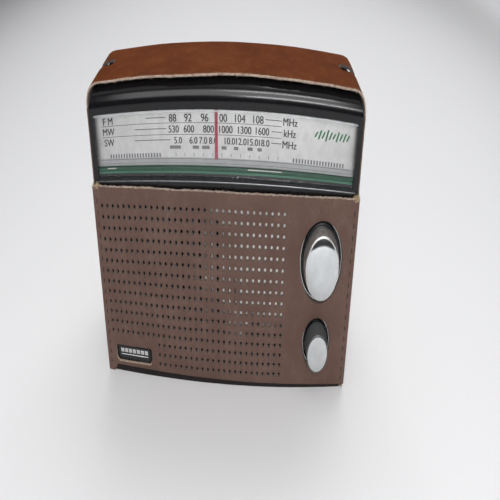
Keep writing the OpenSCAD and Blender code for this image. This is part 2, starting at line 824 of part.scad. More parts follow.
case_front_panel();
case_left_gusset();
case_right_gusset();
case_bottom_panel();
case_top_band();
case_back_frame();
case_flap_margin();
case_back_flap();
stud_posts();
stud_caps();
front_cabinet();
rear_cabinet();
battery_door();
battery_tray();
cells();
battery_contacts();
cabinet_screws();
grille_plate();
badge_plate();
dial_lens();
dial_plate();
dial_trim();
dial_pointer();
pointer_rail();
left_pulley();
right_pulley();
pulley_axles();
dial_string();
string_drum();
tuning_capacitor();
tuning_shaft();
tuning_knob();
tuning_skirt();
tuning_bush();
volume_control();
volume_shaft();
volume_knob();
volume_skirt();
speaker_frame();
speaker_cone();
speaker_magnet();
circuit_board();
if_cans();
electrolytics();
ferrite_rod();
ferrite_coil();
ferrite_clips();
band_switch();
band_slider();
earphone_jack();
power_jack();
strap_pins();
aerial_pivot();
aerial_knuckle();
aerial_tube_1();
aerial_tube_2();
aerial_tube_3();
aerial_tube_4();
aerial_rest();
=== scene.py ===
import json
import math
import random

import bmesh
import bpy
from mathutils import Matrix, Vector, noise
from mathutils.geometry import delaunay_2d_cdt


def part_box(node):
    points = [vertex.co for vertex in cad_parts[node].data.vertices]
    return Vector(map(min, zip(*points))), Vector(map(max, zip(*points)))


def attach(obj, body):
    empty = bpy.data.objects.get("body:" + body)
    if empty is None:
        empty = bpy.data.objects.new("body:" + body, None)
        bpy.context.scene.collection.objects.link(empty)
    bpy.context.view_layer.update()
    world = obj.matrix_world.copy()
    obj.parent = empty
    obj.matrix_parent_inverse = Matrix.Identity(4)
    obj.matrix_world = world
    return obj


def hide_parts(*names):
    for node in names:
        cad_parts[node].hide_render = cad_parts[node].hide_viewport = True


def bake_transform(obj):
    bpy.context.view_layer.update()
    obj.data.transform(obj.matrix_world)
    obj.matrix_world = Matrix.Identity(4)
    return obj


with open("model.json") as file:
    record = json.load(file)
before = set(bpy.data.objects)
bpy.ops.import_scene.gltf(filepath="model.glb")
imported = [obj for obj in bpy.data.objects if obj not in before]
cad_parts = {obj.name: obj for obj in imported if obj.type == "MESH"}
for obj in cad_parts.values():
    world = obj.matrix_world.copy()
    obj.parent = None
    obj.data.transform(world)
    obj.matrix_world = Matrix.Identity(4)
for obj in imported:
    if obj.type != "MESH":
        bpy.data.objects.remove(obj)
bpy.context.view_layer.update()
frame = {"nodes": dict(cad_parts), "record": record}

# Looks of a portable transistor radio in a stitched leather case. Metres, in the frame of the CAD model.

MM = 0.001


bpy.context.scene.view_settings.view_transform = "Standard"

# ---- places, from the frame ----

PANEL_LOW, PANEL_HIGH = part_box("case_front_panel")
BAND_LOW, BAND_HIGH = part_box("case_top_band")
FRAME_LOW, FRAME_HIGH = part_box("case_back_frame")
FLAP_LOW, FLAP_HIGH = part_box("case_back_flap")
MARGIN_LOW, MARGIN_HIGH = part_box("case_flap_margin")
LENS_LOW, LENS_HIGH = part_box("dial_lens")
PLATE_LOW, PLATE_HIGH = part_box("dial_plate")
TRIM_LOW, TRIM_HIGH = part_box("dial_trim")
BADGE_LOW, BADGE_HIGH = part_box("badge_plate")
TUNE_LOW, TUNE_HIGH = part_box("tuning_knob")
VOL_LOW, VOL_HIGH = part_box("volume_knob")

CASE_X = PANEL_HIGH.x
LEATHER = PANEL_HIGH.y - PANEL_LOW.y
CASE_TOP = BAND_HIGH.z
BAND_R = 13 * MM
REAR_Y = BAND_HIGH.y
KNOB_X = (TUNE_LOW.x + TUNE_HIGH.x) / 2
TUNE_Z = (TUNE_LOW.z + TUNE_HIGH.z) / 2
VOL_Z = (VOL_LOW.z + VOL_HIGH.z) / 2
TUNE_HOLE_R, TUNE_WELL_R = 18.5 * MM, 17.9 * MM
VOL_HOLE_R, VOL_WELL_R = 12.6 * MM, 12.0 * MM

# Speaker perforations: a grid whose lowest SHORT_ROWS rows leave out SHORT_COLS holes beside the badge.
HOLE_PITCH = 5 * MM
HOLE_R = 1.09 * MM
HOLE_COLS = 32
HOLE_ROWS = 16
SHORT_ROWS = 3
SHORT_COLS = 9
FIRST_HOLE_X = -104.5 * MM
FIRST_HOLE_Z = 82.5 * MM
PUNCH_STEPS = 14

# Strap slots: middle and half width. Openings in the side walls: y, z and radius, or low and high (y, z).
# Press studs: distance from the middle, height and their hole's radius.
SLOT_Y, SLOT_R = -3 * MM, 4.5 * MM
POWER_JACK = (12 * MM, 22 * MM, 5.5 * MM)
EARPHONE_JACK = (-14 * MM, 34 * MM, 4.5 * MM)
BAND_SLOT = ((-19 * MM, 69.5 * MM), (-9 * MM, 89.5 * MM))
STUD_X, STUD_Z, STUD_R = 84 * MM, 14.5 * MM, 3 * MM


# ---- material helpers ----

class Shader:
    """A node material with one Principled shader, built up node by node."""

    def __init__(self, name, color=(0.5, 0.5, 0.5), rough=0.5, metal=0.0, **fixed):
        self.material = bpy.data.materials.new(name)
        self.material.use_nodes = True
        self.tree = self.material.node_tree
        self.bsdf = self.tree.nodes["Principled BSDF"]
        self.set("Base Color", (*color, 1.0))
        self.set("Roughness", rough)
        self.set("Metallic", metal)
        for key, value in fixed.items():
            self.set(key.replace("_", " "), value)

    def set(self, socket, value):
        self.bsdf.inputs[socket].default_value = value

    def node(self, kind, links=(), **values):
        made = self.tree.nodes.new(kind)
        for key, value in values.items():
            if hasattr(made, key):
                setattr(made, key, value)
            else:
                made.inputs[key.replace("_", " ")].default_value = value
        for socket, source in dict(links).items():
            self.tree.links.new(source, made.inputs[socket])
        return made

    def place(self, scale=(1, 1, 1)):
        where = self.node("ShaderNodeTexCoord").outputs["Object"]
        if scale == (1, 1, 1):
            return where
        return self.node("ShaderNodeMapping", {"Vector": where}, Scale=scale).outputs["Vector"]

    def noise(self, size, detail=4.0, rough=0.55, stretch=(1, 1, 1)):
        made = self.node("ShaderNodeTexNoise", {"Vector": self.place(stretch)},
                         Scale=1 / size, Detail=detail, Roughness=rough)
        return made.outputs["Fac"]

    def cells(self, size, feature="F1", stretch=(1, 1, 1)):
        made = self.node("ShaderNodeTexVoronoi", {"Vector": self.place(stretch)},
                         feature=feature, Scale=1 / size)
        return made.outputs["Distance"]

    def ramp(self, source, *stops):
        made = self.node("ShaderNodeValToRGB", {"Fac": source})
        band = made.color_ramp
        while len(band.elements) < len(stops):
            band.elements.new(0.5)
        for element, (place, shade) in zip(band.elements, stops):
            element.position = place
            element.color = (*shade, 1.0) if hasattr(shade, "__len__") else (shade, shade, shade, 1.0)
        return made.outputs["Color"]

    def math(self, operation, a, b=0.5):
        made = self.node("ShaderNodeMath", operation=operation)
        for socket, value in zip(made.inputs, (a, b)):
            if isinstance(value, (int, float)):
                socket.default_value = value
            else:
                self.tree.links.new(value, socket)
        return made.outputs["Value"]

    def weighed(self, a, share_a, b, share_b):
        return self.math("ADD", self.math("MULTIPLY", a, share_a), self.math("MULTIPLY", b, share_b))

    def mix(self, factor, a, b):
        made = self.node("ShaderNodeMix", data_type="RGBA")
        for socket, value in zip((made.inputs[0], made.inputs[6], made.inputs[7]), (factor, a, b)):
            if isinstance(value, (int, float)):
                socket.default_value = value
            elif isinstance(value, tuple):
                socket.default_value = (*value, 1.0)
            else:
                self.tree.links.new(value, socket)
        return made.outputs[2]

    def tint(self, tone, shade, source, low, high, share):
        """The tone with a share of shade mixed in where the source is over low, in full from high on."""
        mask = self.ramp(source, (low, 0.0), (high, 1.0))
        return self.mix(self.math("MULTIPLY", mask, share), tone, shade)

    def link(self, source, socket):
        self.tree.links.new(source, self.bsdf.inputs[socket])

    def rough(self, source, low, high):
        span = self.node("ShaderNodeMapRange", {"Value": source}, To_Min=low, To_Max=high)
        self.link(span.outputs["Result"], "Roughness")

    def bump(self, *layers):
        """Each layer is (height source, distance in metres, strength)."""
        normal = None
        for height, distance, strength in layers:
            links = {"Height": height}
            if normal:
                links["Normal"] = normal
            made = self.node("ShaderNodeBump", links, Distance=distance, Strength=strength)
            normal = made.outputs["Normal"]
        self.link(normal, "Normal")


def leather(name, color, dark, light, grain=0.9 * MM, relief=0.05 * MM, rough=(0.42, 0.62), gloss=0.42):
    """Finished leather: fine pebble, pores, cloudy colour and rubbed patches."""
    s = Shader(name, color, 0.5, Specular_IOR_Level=gloss)
    cloud = s.noise(28 * MM, 5, 0.6)
    patch = s.noise(7 * MM, 4, 0.6)
    fine = s.noise(0.5 * MM, 3, 0.6)
    pebble = s.cells(grain, "SMOOTH_F1")
    tone = s.mix(s.ramp(cloud, (0.3, 0.0), (0.72, 1.0)), dark, color)
    tone = s.tint(tone, light, patch, 0.5, 0.78, 0.35)
    tone = s.tint(tone, dark, pebble, 0.25, 0.75, 0.3)
    tone = s.tint(tone, dark, s.noise(1.2 * MM, 2, 0.5), 0.5, 0.64, 0.55)
    s.link(tone, "Base Color")
    s.rough(s.weighed(patch, 0.6, fine, 0.4), *rough)
    s.bump((pebble, relief, -0.55), (fine, relief * 0.5, 0.35), (patch, 0.25 * MM, 0.25))
    return s.material


def raw_leather(name, color, dark):
    """Cut edge or flesh side: pale, matt and fibrous."""
    s = Shader(name, color, 0.9, Sheen_Weight=0.3, Sheen_Roughness=0.6)
    fibre = s.noise(0.35 * MM, 5, 0.7)
    clump = s.noise(2 * MM, 4, 0.65)
    tone = s.mix(s.ramp(fibre, (0.35, 0.0), (0.6, 1.0)), dark, color)
    s.link(s.mix(s.ramp(clump, (0.42, 0.0), (0.62, 0.75)), tone, dark), "Base Color")
    s.bump((fibre, 0.25 * MM, 0.8))
    return s.material


def plastic(name, color, rough=(0.25, 0.4), dust=0.03, gloss=0.5):
    """Moulded plastic with faint flow marks, fine scratches and a little dust."""
    s = Shader(name, color, 0.3, Specular_IOR_Level=gloss)
    flow = s.noise(14 * MM, 3, 0.5)
    speck = s.noise(0.6 * MM, 2, 0.5)
    scratch = s.noise(1.2 * MM, 3, 0.6, stretch=(0.06, 1, 1))
    worn = s.ramp(scratch, (0.6, 0.0), (0.72, 1.0))
    s.rough(s.weighed(flow, 0.7, worn, 0.35), *rough)
    s.link(s.tint(color, (0.5, 0.49, 0.46), speck, 0.62, 0.74, dust), "Base Color")
    s.bump((scratch, 0.004 * MM, 0.3), (flow, 0.05 * MM, 0.08))
    return s.material


def metal(name, color, rough=(0.15, 0.35), stretch=(1, 1, 1), grain=0.4 * MM, stain=None, stain_share=0.0,
          blot_size=3.5 * MM):
    """Bare or plated metal with fine rubbing marks and, where asked, blotchy tarnish."""
    s = Shader(name, color, 0.25, 1.0)
    rub = s.noise(grain, 4, 0.6, stretch=stretch)
    cloud = s.noise(6 * MM, 4, 0.65)
    s.rough(s.weighed(rub, 0.6, cloud, 0.4), *rough)
    tone = s.mix(s.ramp(cloud, (0.35, 0.0), (0.7, 1.0)), tuple(c * 0.86 for c in color), color)
    if stain:
        tone = s.tint(tone, stain, s.noise(blot_size, 5, 0.7), 0.48, 0.62, stain_share)
    s.link(tone, "Base Color")
    s.bump((rub, 0.01 * MM, 0.25), (cloud, 0.06 * MM, 0.12))
    return s.material


def plate_with_painted_highlight(name, dull, painted_highlight):
    """The plate behind the perforations: dull dark paint, with a painted highlight that brightens it towards
    the upper right, standing in for light seen through the holes there.
    """
    s = Shader(name, painted_highlight, 0.3)
    where = s.node("ShaderNodeSeparateXYZ", {"Vector": s.place()}).outputs
    # Mask from dark at the left and bottom to bright at the upper right, with a noisy border: where the
    # painted highlight lies.
    patch = s.math("MULTIPLY", s.math("SUBTRACT", s.noise(14 * MM, 3, 0.6)), 60 * MM)
    across = s.node("ShaderNodeMapRange", {"Value": s.math("ADD", where["X"], patch)},
                    From_Min=-22 * MM, From_Max=8 * MM).outputs["Result"]
    up = s.node("ShaderNodeMapRange", {"Value": s.math("ADD", where["Z"], patch)},
                From_Min=30 * MM, From_Max=42 * MM).outputs["Result"]
    s.link(s.mix(s.math("MULTIPLY", across, up), dull, painted_highlight), "Base Color")
    s.rough(s.noise(0.8 * MM, 3, 0.6), 0.25, 0.5)
    return s.material


def matt(name, color, rough=(0.5, 0.75), grain=0.8 * MM, relief=0.02 * MM, contrast=0.75):
    """Paint, paper, sleeve or board with a fine tooth."""
    s = Shader(name, color, 0.6)
    tooth = s.noise(grain, 4, 0.6)
    cloud = s.noise(9 * MM, 4, 0.6)
    s.rough(tooth, *rough)
    dark = tuple(c * contrast for c in color)
    s.link(s.mix(s.ramp(cloud, (0.35, 0.0), (0.7, 1.0)), dark, color), "Base Color")
    s.bump((tooth, relief, 0.5))
    return s.material


def winding(name, color, turn, axis):
    """Wire wound side by side along one axis, darker between the turns as painted shade in the grooves."""
    s = Shader(name, color, 0.35, 0.6)
    stripes = s.node("ShaderNodeTexWave", {"Vector": s.place()}, bands_direction=axis, Scale=0.314 / turn,
                     Distortion=0.4, Detail=1.0)
    # Darker where the wave dips: painted shade between the turns.
    tone = s.ramp(stripes.outputs["Fac"], (0.1, tuple(c * 0.3 for c in color)), (0.6, color))
    s.link(tone, "Base Color")
    s.rough(stripes.outputs["Fac"], 0.6, 0.3)
    s.bump((stripes.outputs["Fac"], 0.15 * MM, 0.8))
    return s.material


def clear(name, color, alpha, rough, scratched=0.2):
    """Clear polished plastic, told by its gloss, with hair scratches."""
    s = Shader(name, color, rough, Alpha=alpha, Specular_IOR_Level=0.9, Coat_Weight=1.0, Coat_Roughness=0.03)
    scratch = s.noise(0.9 * MM, 3, 0.6, stretch=(0.08, 1, 1))
    s.rough(s.ramp(scratch, (0.55, 0.0), (0.8, 1.0)), rough, rough + 0.12)
    s.bump((scratch, 0.003 * MM, scratched))
    return s.material


MATERIALS = {}


def look(maker, name, *values, **options):
    MATERIALS[name] = maker(name, *values, **options)


look(leather, "leather_taupe", (0.142, 0.087, 0.070), (0.103, 0.060, 0.047), (0.178, 0.118, 0.097),
     gloss=0.16)
look(leather, "leather_cognac", (0.168, 0.043, 0.009), (0.095, 0.022, 0.004), (0.22, 0.085, 0.035),
     grain=1.1 * MM, relief=0.03 * MM, rough=(0.55, 0.72), gloss=0.06)
look(leather, "leather_dark", (0.115, 0.06, 0.04), (0.08, 0.04, 0.026), (0.17, 0.10, 0.07))
look(raw_leather, "leather_raw", (0.62, 0.50, 0.40), (0.20, 0.12, 0.08))
# Hole walls: raw leather painted darker than a cut edge, as painted shade inside the punched holes and slots.
look(raw_leather, "leather_punched", (0.13, 0.08, 0.058), (0.04, 0.025, 0.018))
look(raw_leather, "leather_flesh", (0.20, 0.13, 0.09), (0.11, 0.065, 0.045))
look(matt, "thread", (0.035, 0.018, 0.013), grain=0.25 * MM, relief=0.08 * MM)
look(plastic, "black_plastic", (0.005, 0.005, 0.006), rough=(0.13, 0.22), gloss=0.34)
look(plastic, "grey_plastic", (0.03, 0.03, 0.033), rough=(0.35, 0.5))
look(matt, "white_plastic", (0.72, 0.70, 0.64), rough=(0.35, 0.5), contrast=0.93)
look(matt, "soft_black", (0.02, 0.02, 0.02), rough=(0.7, 0.9))
look(metal, "nickel", (0.66, 0.64, 0.60), rough=(0.18, 0.4), stain=(0.25, 0.2, 0.15), stain_share=0.3)
look(metal, "aerial_chrome", (0.76, 0.76, 0.78), rough=(0.06, 0.2), stretch=(0.1, 1, 1))
# Plate behind the speaker holes: dark, with a painted highlight at the upper right.
look(plate_with_painted_highlight, "grille_metal", (0.006, 0.006, 0.006), (0.92, 0.92, 0.90))
look(plastic, "badge_black", (0.008, 0.008, 0.009), rough=(0.08, 0.2), dust=0.05)
look(clear, "clear_lens", (0.10, 0.10, 0.11), 0.07, 0.05)
# Pale colour for the lens's bevelled edges: a painted highlight.
look(clear, "clear_edge", (0.60, 0.63, 0.66), 0.42, 0.08, scratched=0.02)
look(metal, "dial_silver", (0.90, 0.90, 0.89), rough=(0.48, 0.62), stretch=(0.05, 1, 1))
look(plastic, "dial_green", (0.008, 0.070, 0.035))
look(plastic, "pointer_red", (0.42, 0.012, 0.022), rough=(0.3, 0.45))
look(matt, "string", (0.55, 0.52, 0.42), grain=0.3 * MM, relief=0.08 * MM)
look(metal, "can_metal", (0.55, 0.55, 0.53), rough=(0.35, 0.55))
look(metal, "knob_silver", (0.70, 0.72, 0.73), rough=(0.07, 0.13), grain=0.25 * MM)
look(metal, "brass", (0.62, 0.45, 0.18), rough=(0.2, 0.4))
look(matt, "grey_metal", (0.12, 0.125, 0.135), rough=(0.4, 0.6))
look(matt, "paper", (0.02, 0.02, 0.02), rough=(0.8, 0.95), grain=0.5 * MM, relief=0.1 * MM)
look(matt, "magnet", (0.035, 0.035, 0.038), rough=(0.5, 0.7))
look(matt, "board", (0.26, 0.14, 0.05), rough=(0.45, 0.6))
look(plastic, "blue_sleeve", (0.014, 0.035, 0.17))
look(winding, "copper", (0.5, 0.2, 0.07), 0.4 * MM, "X")
look(matt, "cell_label", (0.42, 0.03, 0.015), rough=(0.25, 0.4))
look(plastic, "stripe_pale", (0.07, 0.22, 0.14))
look(metal, "knob_side", (0.80, 0.80, 0.79), rough=(0.3, 0.55), stretch=(1, 0.4, 1), grain=0.7 * MM,
     stain=(0.28, 0.23, 0.17), stain_share=0.5, blot_size=1.6 * MM)
look(plastic, "knob_dark", (0.075, 0.08, 0.08))
# Near-black leather for the strip under the front panel and the case's bottom: painted shadow.
look(leather, "welt", (0.016, 0.012, 0.011), (0.008, 0.006, 0.006), (0.03, 0.022, 0.02), gloss=0.2)
look(metal, "badge_rim", (0.75, 0.75, 0.75), rough=(0.12, 0.25))
look(matt, "print_dark", (0.06, 0.06, 0.065), rough=(0.5, 0.7))
look(matt, "print_grey", (0.24, 0.24, 0.25), rough=(0.5, 0.7))
look(metal, "dial_shade", (0.56, 0.565, 0.57), rough=(0.45, 0.6), stretch=(0.05, 1, 1))
look(plastic, "ledge_grey", (0.035, 0.035, 0.037), rough=(0.3, 0.45))
# Near-black, darker than the plastic behind the slots: painted shade inside the strap slots.
look(matt, "hollow", (0.004, 0.004, 0.004), rough=(0.8, 0.95))
look(metal, "lip", (0.17, 0.175, 0.18), rough=(0.2, 0.36), stretch=(0.1, 1, 1))
look(raw_leather, "glue", (0.72, 0.60, 0.38), (0.36, 0.24, 0.12))
look(plastic, "pointer_edge", (0.36, 0.10, 0.14), rough=(0.3, 0.45))
look(matt, "print_green", (0.02, 0.20, 0.07), rough=(0.5, 0.7))

node_looks = {part["node"]: part["material_slot"] for part in frame["record"]["subparts"]}
# The case's bottom is given the same near-black leather, as painted shadow under the case.
node_looks["case_bottom_panel"] = "welt"
node_looks["strap_pins"] = "soft_black"
for node, key in node_looks.items():
    for holder in frame["nodes"][node].material_slots:
        holder.material = MATERIALS[key]


# ---- mesh helpers ----

def put(name, data):
    """A new object in the scene."""
    made = bpy.data.objects.new(name, data)
    bpy.context.scene.collection.objects.link(made)
    return made


def piece(name, verts, faces, materials, body="radio", slot=None, shades=None, angle=35, hides=()):
    """Makes a mesh object from points in metres, gives it its materials and sets it on a body."""
    mesh = bpy.data.meshes.new(name)
    mesh.from_pydata([tuple(v) for v in verts], [], faces)
    for key in materials:
        mesh.materials.append(MATERIALS[key])
    if shades:
        mesh.polygons.foreach_set("material_index", shades)
    mesh.validate()
    mesh.shade_smooth()
    mesh.set_sharp_from_angle(angle=math.radians(angle))
    made = put(name, mesh)
    if body:
        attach(made, body)
    if hides:
        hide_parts(*hides)
    return made


def arc(cx, cz, r, start, end, steps):
    turns = (math.radians(start + (end - start) * i / steps) for i in range(steps + 1))
    return [(cx + r * math.cos(t), cz + r * math.sin(t)) for t in turns]


def rounded(x0, x1, z0, z1, low, high, steps=5):
    """Closed outline, counter-clockwise, with one radius for the lower and one for the upper corners."""
    return (arc(x1 - low, z0 + low, low, -90, 0, steps) + arc(x1 - high, z1 - high, high, 0, 90, steps)
            + arc(x0 + high, z1 - high, high, 90, 180, steps) + arc(x0 + low, z0 + low, low, 180, 270, steps))


def circle(cx, cz, r, steps):
    return arc(cx, cz, r, 0, 360, steps)[:-1]


def stepped(loop, step):
    """The same loop with its long sides cut into steps."""
    out = []
    for a, b in zip(loop, loop[1:] + loop[:1]):
        n = max(1, math.ceil(math.dist(a, b) / step))
        out += [(a[0] + (b[0] - a[0]) * i / n, a[1] + (b[1] - a[1]) * i / n) for i in range(n)]
    return [p for p, q in zip(out, out[1:] + out[:1]) if math.dist(p, q) > 1e-6]


def inset(loop, amount):
    """The loop moved to its left by amount at each point."""
    out = []
    for before, here, after in zip(loop[-1:] + loop[:-1], loop, loop[1:] + loop[:1]):
        a = Vector((here[0] - before[0], here[1] - before[1])).normalized()
        b = Vector((after[0] - here[0], after[1] - here[1])).normalized()
        side = Vector((-a.y - b.y, a.x + b.x))
        side = side.normalized() * min(2.0, 1 / max(0.3, math.sqrt(max(0.0, (1 + a.dot(b)) / 2))))
        out.append((here[0] + side.x * amount, here[1] + side.y * amount))
    return out


# The walls of punched holes take a darker colour, painted shade inside the holes.
OUTER, CUT_EDGE, INNER, PUNCHED_SHADE = range(4)      # the shades of a sheet's faces


def grid_points(outline, lines, spacing):
    """A grid over the outline's box, without the points that come close to a point of the lines."""
    near = {}
    for p in lines:
        near.setdefault((round(p[0] / spacing), round(p[1] / spacing)), []).append(p)
    us, vs = [p[0] for p in outline], [p[1] for p in outline]
    found = []
    u = min(us) + spacing / 2
    while u < max(us):
        v = min(vs) + spacing / 2
        while v < max(vs):
            column, row = round(u / spacing), round(v / spacing)
            around = [q for i in (-1, 0, 1) for j in (-1, 0, 1) for q in near.get((column + i, row + j), ())]
            if all(math.dist((u, v), q) > spacing * 0.3 for q in around):
                found.append((u, v))
            v += spacing
        u += spacing
    return found


def flat_triangles(flat, edges, rings):
    """Triangles, as numbers of flat points, over the area inside the first ring and outside the others."""
    regions = [rings[0]] + [list(reversed(ring)) for ring in rings[1:]]
    made = delaunay_2d_cdt([Vector(p) for p in flat], edges, regions, 0, 1e-7, True)
    triangles, sources, inside = made[2], made[3], made[5]
    number = [source[0] if source else None for source in sources]
    kept = [[number[i] for i in t] for t, tags in zip(triangles, inside) if list(tags) == [0]]
    return [t for t in kept if None not in t]


def sheet_mesh(outline, holes, thick, rim, spacing, raw):
    """Flat sheet with rounded rims. Returns points (u, v, depth), faces and a shade for each face. The walls
    of the holes listed in raw are shaded as cut edges, like the outline's, and other walls as punched, in a
    darker colour that is painted shade inside the holes."""
    loops = [outline] + [list(reversed(h)) for h in holes]
    flat, edges, rings = [], [], []
    for loop in loops:
        first = len(flat)
        flat += inset(loop, rim)
        ring = list(range(first, len(flat)))
        rings.append(ring)
        edges += list(zip(ring, ring[1:] + ring[:1]))
    flat += grid_points(outline, flat, spacing)
    count = len(flat)
    points = [(p[0], p[1], 0.0) for p in flat] + [(p[0], p[1], thick) for p in flat]
    faces, shades = [], []
    for t in flat_triangles(flat, edges, rings):
        faces += [tuple(t), tuple(count + i for i in reversed(t))]
        shades += [OUTER, INNER]
    for cut, loop, ring in zip([outline] + holes, loops, rings):
        wall = CUT_EDGE if any(cut is one for one in (outline, *raw)) else PUNCHED_SHADE
        layers = [ring]
        for amount, depth in ((0.29 * rim, 0.29 * rim), (0.0, rim), (0.0, thick - rim)):
            layers.append(list(range(len(points), len(points) + len(loop))))
            points += [(p[0], p[1], depth) for p in inset(loop, amount)]
        layers.append([count + i for i in ring])
        for level, (upper, lower) in enumerate(zip(layers, layers[1:])):
            for i in range(len(ring)):
                j = (i + 1) % len(ring)
                faces.append((upper[j], upper[i], lower[i], lower[j]))
                shades.append(OUTER if level == 0 else wall)
    return points, faces, shades


def leather_piece(name, outline, holes, place, slot, thick=LEATHER, rim=0.35 * MM, spacing=5 * MM, raw=(),
                  face=None, dull_below=0.0, **more):
    """A sheet of leather bent by place(u, v, depth), with its face, cut edges and flesh side. Cut edges below
    the height dull_below are as dark as the flesh side."""
    points, faces, shades = sheet_mesh(outline, holes, thick, rim, spacing, raw)
    placed = [place(*p) for p in points]
    for i, around in enumerate(faces):
        if shades[i] == CUT_EDGE:
            middle = sum((placed[k] for k in around), Vector()) / len(around)
            shades[i] = INNER if middle.z < dull_below else CUT_EDGE
    materials = [face or slot, "leather_raw", "leather_flesh", "leather_punched"]
    return piece(name, placed, faces, materials, slot=slot, shades=shades, **more)


def wobble(*where, size, amount):
    """Smooth, repeatable unevenness of that size and height. The third number of where picks the pattern."""
    return noise.noise(Vector(where) / size) * amount


def lathe(profile, centre, steps=96):
    """Points and faces of a turned shape on an axis along Y. The profile is (radius, y), back to front."""
    points, faces = [], []
    rows = []
    for r, y in profile:
        if r < 1e-6:
            rows.append([len(points)])
            points.append(Vector((centre[0], y, centre[1])))
        else:
            rows.append(list(range(len(points), len(points) + steps)))
            points += [Vector((centre[0] + r * math.cos(t), y, centre[1] + r * math.sin(t)))
                       for t in (2 * math.pi * i / steps for i in range(steps))]
    for a, b in zip(rows, rows[1:]):
        for i in range(steps):
            j = (i + 1) % steps
            if len(a) == 1:
                faces.append((a[0], b[i], b[j]))
            elif len(b) == 1:
                faces.append((a[i], b[0], a[j]))
            else:
                faces.append((a[i], b[i], b[j], a[j]))
    return points, faces


def stitches(name, seam, normal, length=3.1 * MM, gap=1.5 * MM, r=0.42 * MM, body="radio"):
    """Thread along a seam, as short stitches that dive into the leather at both ends."""
    points, faces = [], []
    lengths = [(b - a).length for a, b in zip(seam, seam[1:])]
    total = sum(lengths)
    count = int((total + gap) / (length + gap))
    rings, sides = 7, 6
    rng = random.Random(len(name))

    def along(s):
        for a, b, reach in zip(seam, seam[1:], lengths):
            if s <= reach or b is seam[-1]:
                return a.lerp(b, s / reach), (b - a).normalized()
            s -= reach

    for k in range(count):
        start = k * (length + gap) + rng.uniform(-0.15, 0.15) * MM
        first = len(points)
        for i in range(rings):
            share = i / (rings - 1)
            at, run = along(max(0.0, min(total, start + share * length)))
            across = run.cross(normal)
            lift = math.sin(math.pi * share) ** 0.6 * 0.55 * r - 0.25 * r
            thin = 0.35 + 0.65 * math.sin(math.pi * share) ** 0.5
            for q in range(sides):
                t = 2 * math.pi * q / sides
                up, out = lift + math.sin(t) * r * 0.6 * thin, math.cos(t)
                points.append(at + normal * up + across * out * r * thin)
        for i in range(rings - 1):
            for q in range(sides):
                a, b = first + i * sides + q, first + i * sides + (q + 1) % sides
                faces.append((a, a + sides, b + sides, b))
        faces.append(tuple(first + q for q in range(sides)))
        faces.append(tuple(first + (rings - 1) * sides + q for q in reversed(range(sides))))
    return piece(name, points, faces, ["thread"], body=body, slot="leather_dark", angle=60)


def fray(name, path, lean, spread, count, length, material="leather_raw", r=0.07 * MM):
    """Loose fibres along a cut edge: fine spikes that lean one way, set in random tufts."""
    rng = random.Random(count)
    points, faces = [], []
    for k in range(count):
        at = rng.random() * (len(path) - 1)
        if noise.noise(Vector((at * 0.9, len(name), 0.5))) < rng.uniform(-0.5, 0.3):
            continue
        root = path[int(at)].lerp(path[int(at) + 1], at % 1)
        root = root + Vector(rng.uniform(-1, 1) * c for c in spread)
        way = (lean + Vector(rng.uniform(-1, 1) for _ in range(3))).normalized()
        tip = root + way * length * rng.uniform(0.3, 1.0)
        side = way.orthogonal().normalized()
        over = way.cross(side)
        first = len(points)
        points += [root + (side * math.cos(t) + over * math.sin(t)) * r for t in (0, 2.1, 4.2)] + [tip]
        a, b, c, d = range(first, first + 4)
        faces += [(a, b, d), (b, c, d), (c, a, d), (c, b, a)]
    return piece(name, points, faces, [material], slot="leather_cognac", angle=80)


# ---- leather case ----

def fold_height(u):
    """Height of the front panel's lower edge, away from its left corner."""
    return (3.1 - 1.1 * u / CASE_X) * MM


def front_point(u, v, depth):
    """Front panel: a little slack, with a top edge that sags between its sewn sides."""
    middle = max(0.0, 1 - ((u - 12 * MM) / (CASE_X + 6 * MM)) ** 2)
    near_top = max(0.0, min(1.0, (v - 60 * MM) / (PANEL_HIGH.z - 60 * MM))) ** 2
    sag = near_top * (0.4 * MM - 1.8 * MM * middle + wobble(u, 0, 3.1, size=26 * MM, amount=0.35 * MM))
    if v > PANEL_HIGH.z - 1 * MM:
        sag += (wobble(u, depth, 6.6, size=2.2 * MM, amount=0.3 * MM)
                + wobble(u, depth, 2.9, size=0.9 * MM, amount=0.2 * MM))
    slack = -0.5 * MM * middle * near_top + wobble(u, v, 7.7, size=45 * MM, amount=0.35 * MM)
    slack += wobble(u, v, 1.3, size=12 * MM, amount=0.07 * MM)
    return Vector((u, PANEL_LOW.y + depth + slack * min(1.0, (CASE_X - abs(u)) / (6 * MM)), v + sag))


